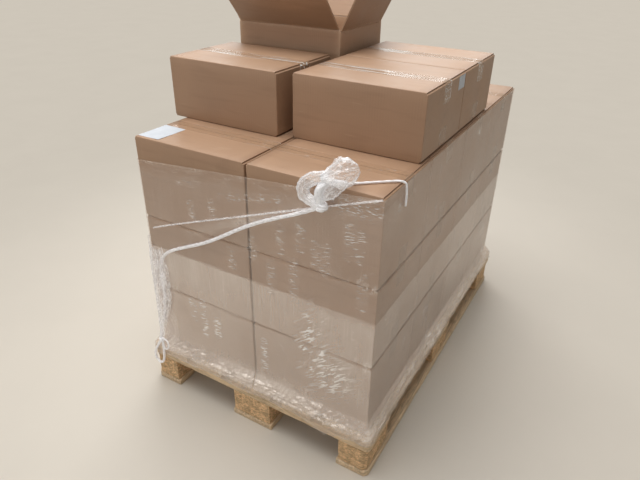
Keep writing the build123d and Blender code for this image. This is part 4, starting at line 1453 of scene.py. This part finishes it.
class LOAD_OT_knot_bunch(bpy.types.Operator):
    """Make the knot and the bunched film on it: a loop to the left and a crumpled bag that leans
    back"""

    bl_idname = "load.knot_bunch"
    bl_label = "Knot and bunch"
    # centre lines, x, y and z in metres
    core_line = (
        (0.24, -0.6, 0.803), (0.236, -0.6015, 0.82), (0.231, -0.603, 0.838),
        (0.2335, -0.603, 0.856), (0.243, -0.599, 0.8685), (0.255, -0.5895, 0.8735),
        (0.268, -0.578, 0.8715), (0.28, -0.563, 0.8672),
    )
    loop_line = (
        (0.234, -0.602, 0.811), (0.215, -0.6035, 0.821), (0.193, -0.604, 0.833),
        (0.189, -0.603, 0.853), (0.205, -0.601, 0.872), (0.226, -0.598, 0.882),
        (0.244, -0.593, 0.886),
    )
    bag_line = (
        (0.234, -0.599, 0.88), (0.248, -0.593, 0.884), (0.266, -0.584, 0.891),
        (0.284, -0.574, 0.898), (0.3, -0.566, 0.904), (0.307, -0.562, 0.907),
    )
    lobe_line = (
        (0.234, -0.602, 0.828), (0.248, -0.602, 0.843), (0.264, -0.599, 0.856),
        (0.28, -0.595, 0.868), (0.295, -0.59, 0.879),
    )
    hitch_centre = (0.238, -0.5995, 0.812)

    def execute(self, context):
        skin = Skin("knot_and_bunch", "thin")
        line, run = route(self.core_line, 1.4 * MM)
        radius = np.interp(run / run[-1], (0, 0.2, 0.45, 0.62, 0.8, 1), (7, 10.5, 11, 9, 6, 3.4)) * MM
        twist_film(skin, line, run, radius, 11, 9, 41, thin=0)
        self.pocket(skin, self.loop_line, (7, 13, 14.5, 14, 13.5, 9), 0.62, 0.85, 45)
        self.pocket(skin, self.bag_line, (9, 16, 23, 28, 27, 9), 0.85, 1.0, 31)
        self.pocket(skin, self.lobe_line, (4, 8, 12, 11, 8, 3), 0.5, 1.0, 35)
        # the knot itself: two turns of rope round the neck
        for height, lean, seed in ((-4 * MM, 0.25, 51), (5 * MM, -0.3, 52)):
            line = coil(self.hitch_centre, 8.5 * MM, 1.1, 60, 1, height, 2.2 * MM, lean)
            twist_film(skin, line, arc_length(line), 5.6 * MM, 4, 60, seed, (0.03, 0.06, 1), 0)
        skin.dress(gathered_film(), ROOT, "gathered_film", "film_knot")
        return {"FINISHED"}

    def pocket(self, skin, points, radii, depth, thin, seed):
        """Film blown out along a line: rings whose radius, given at even steps in millimetres, swells
        and closes. Sharp pleats run along it and break up into crumples; depth flattens the rings."""
        line, run = route(points, 1.5 * MM)
        share = run / run[-1]
        radius = np.interp(share, np.linspace(0, 1, len(radii)), radii)[:, None, None] * MM
        turn = turns(88)
        out = radius * ways_round(line, (0.05, 1.0, 0.1), turn, depth)
        run = run[:, None]
        pleats = ridges(joined(np.cos(turn), np.sin(turn), run * 9), (0.26, 0.26, 0.9), seed)
        spot = line[:, None] + out
        swell = 0.72 + 0.42 * pleats + 0.26 * ridges(spot, 0.02, seed + 1)
        swell += 0.1 * ridges(spot, 0.009, seed + 2)
        thin = np.broadcast_to(thin * smooth_step(share, 0, 0.4)[:, None], swell.shape)
        skin.rings(line[:, None] + out * swell[..., None], uv=joined(turn * 0.02, run), thin=thin)


class LOAD_OT_film_cords(bpy.types.Operator):
    """Twist the film's strands and ropes, and the loose tail's loop"""

    bl_idname = "load.film_cords"
    bl_label = "Film cords"
    side_loop = (
        (-0.349, -0.606, 0.186), (-0.338, -0.608, 0.192), (-0.325, -0.6085, 0.188),
        (-0.319, -0.6085, 0.176), (-0.324, -0.6085, 0.158), (-0.337, -0.608, 0.145),
        (-0.347, -0.6065, 0.158), (-0.351, -0.6055, 0.178),
    )
    tail_centre = (-0.353, -0.60445, 0.182)
    # solid, route, diameter, the share of it that is drawn, lobes, twist, thin and a reference
    cords = (
        ("film_strand", STRAND_ROUTE, 5 * MM, 1, 3, 55, 0.88, (0, 1, 0)),
        ("film_rope", ROPE_ROUTE, 10 * MM, 1, 5, 62, 0.36, (0, 1, 0)),
        ("film_top_rope", TOP_ROPE_ROUTE, 6.4 * MM, 0.8, 4, 70, 0.03, (0, 1, 0)),
        ("film_tail", TAIL_ROUTE, 8 * MM, 1, 4, 60, 0.3, (0, 1, 0.02)),
    )

    def execute(self, context):
        """The rope is clearest at its foot, along 0.22 m. Each cord follows its own centre line, and the
        hitch over the tail is made with the tail."""
        for seed, (node, points, diameter, drawn, lobes, twist, thin, reference) in enumerate(self.cords):
            line, run = route(points, 2.2 * MM)
            if node == "film_rope":
                thin = (thin + 0.5 * (1 - smooth_step(run, 0.22, 0.42)))[:, None]
            skin = Skin(node + "_twisted", "thin")
            twist_film(skin, line, run, drawn * diameter / 2, lobes, twist, seed, reference, thin)
            piece = skin.dress(gathered_film(), ROOT, "gathered_film", node)
            tied = []
            if node == "film_top_rope":
                tied = [bpy.data.objects["knot_and_bunch"]]
            elif node == "film_tail":
                tied = [self.tail_knot()]
        return {"FINISHED"}

    def tail_knot(self):
        """A small hitch over the tail's ends: two short coils of cord, and a second loop."""
        skin = Skin("tail_knot", "thin")
        for lean, seed in ((0.5, 5), (-0.6, 6)):
            line = coil(self.tail_centre, 5.4 * MM, 1.8, 70, 0.8, -1.7 * MM, 3.4 * MM, lean)
            twist_film(skin, line, arc_length(line), 3.3 * MM, 3, 50, seed, (0.05, 0.1, 1))
        line, run = route(self.side_loop, 2 * MM)
        twist_film(skin, line, run, 2.4 * MM, 3, 60, 7, thin=0.3)
        return skin.dress(gathered_film(), ROOT, "gathered_film")


# The stage, the panel and the run


class LOAD_OT_stage(bpy.types.Operator):
    """Set the pale floor, the soft lamps and the camera"""

    bl_idname = "load.stage"
    bl_label = "Stage"
    camera_place = (0.78174, -1.54662, 1.34726)
    camera_yaw = 30.02
    camera_pitch = -29.55
    camera_roll = 1.0
    # name, place, target, size in metres and power in watts: a wide lamp overhead for the lids, a
    # low one behind for the sheen on them, a weak one to the front left, a slim one for the glints
    lamps = (
        ("lamp_above", (-0.4, -0.5, 4.2), (0, 0, 0.9), (3.0, 3.0), 136),
        ("lamp_behind", (-1.9, 3.3, 3.4), (0, -0.2, 0.8), (4.0, 3.0), 110),
        ("lamp_front_left", (-1.9, -3.1, 1.4), (0, -0.5, 0.5), (2.6, 0.3), 9),
        ("lamp_slim", (0.2, -3.0, 2.6), (0, -0.5, 0.6), (0.25, 1.6), 7),
    )

    def execute(self, context):
        self.floor()
        self.world(context)
        for lamp in self.lamps:
            self.lamp(context, *lamp)
        self.camera(context)
        context.scene.view_settings.view_transform = "Standard"
        return {"FINISHED"}

    def floor(self):
        side = np.linspace(-40, 40, 9)
        skin = Skin("pale_floor")
        skin.grid(joined(side, side[:, None], 0))
        skin.make(pale_floor())

    def world(self, context):
        """An even dim world that shows, also in reflections, the floor's own colour."""
        world = bpy.data.worlds.new("pale_world")
        finish = Finish(world)
        sky = finish.blend(finish.seen(), (0.257, 0.257, 0.262), "floor")
        background = finish.node("ShaderNodeBackground", inputs={"Color": sky, "Strength": 1.0})
        finish.node("ShaderNodeOutputWorld", inputs={"Surface": finish.out(background)})
        context.scene.world = world

    def lamp(self, context, name, place, target, size, power):
        light = bpy.data.lights.new(name, "AREA")
        light.shape = "RECTANGLE"
        light.size, light.size_y = size
        light.energy = power
        lamp = bpy.data.objects.new(name, light)
        lamp.location = place
        lamp.rotation_euler = (Vector(target) - Vector(place)).to_track_quat("-Z", "Y").to_euler()
        context.scene.collection.objects.link(lamp)

    def camera(self, context):
        """The camera looks down by its pitch and to the left of +Y by its yaw, rolled a little."""
        yaw, pitch, roll = (radians(a) for a in (self.camera_yaw, self.camera_pitch, self.camera_roll))
        ahead = Vector((-sin(yaw) * cos(pitch), cos(yaw) * cos(pitch), sin(pitch)))
        right = Vector((cos(yaw), sin(yaw), 0))
        up = right.cross(ahead)
        turned_right = right * cos(roll) + up * sin(roll)
        turned_up = up * cos(roll) - right * sin(roll)
        facing = Matrix((turned_right, turned_up, -ahead)).transposed().to_4x4()
        data = bpy.data.cameras.new("camera")
        data.lens = context.scene.load_sizes.lens
        data.sensor_width = 36
        camera = bpy.data.objects.new("camera", data)
        camera.matrix_world = Matrix.Translation(self.camera_place) @ facing
        context.scene.collection.objects.link(camera)
        context.scene.camera = camera


OPERATORS = (
    LOAD_OT_stage, LOAD_OT_pallet_boards, LOAD_OT_blocks, LOAD_OT_nails, LOAD_OT_closed_cartons,
    LOAD_OT_tape, LOAD_OT_open_carton, LOAD_OT_flaps, LOAD_OT_paper, LOAD_OT_film, LOAD_OT_knot_bunch,
    LOAD_OT_film_cords,
)


class LOAD_PT_panel(bpy.types.Panel):
    """The load's sizes, colours and steps in the sidebar"""

    bl_idname = "LOAD_PT_panel"
    bl_label = "Pallet load"
    bl_space_type = "VIEW_3D"
    bl_region_type = "UI"
    bl_category = "Pallet load"

    def draw(self, context):
        for group in (context.scene.load_sizes, context.scene.load_colours):
            column = self.layout.column(align=True)
            for name in group.__annotations__:
                column.prop(group, name)
        for operator in OPERATORS:
            self.layout.operator(operator.bl_idname)


CLASSES = (LoadSizes, LoadColours, *OPERATORS, LOAD_PT_panel)


def register():
    for cls in CLASSES:
        bpy.utils.register_class(cls)
    bpy.types.Scene.load_sizes = PointerProperty(type=LoadSizes)
    bpy.types.Scene.load_colours = PointerProperty(type=LoadColours)


def unregister():
    del bpy.types.Scene.load_colours
    del bpy.types.Scene.load_sizes
    for cls in reversed(CLASSES):
        bpy.utils.unregister_class(cls)


def main():
    register()
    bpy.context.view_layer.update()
    for operator in OPERATORS:
        group, name = operator.bl_idname.split(".")
        getattr(getattr(bpy.ops, group), name)()


if __name__ == "__main__":
    main()
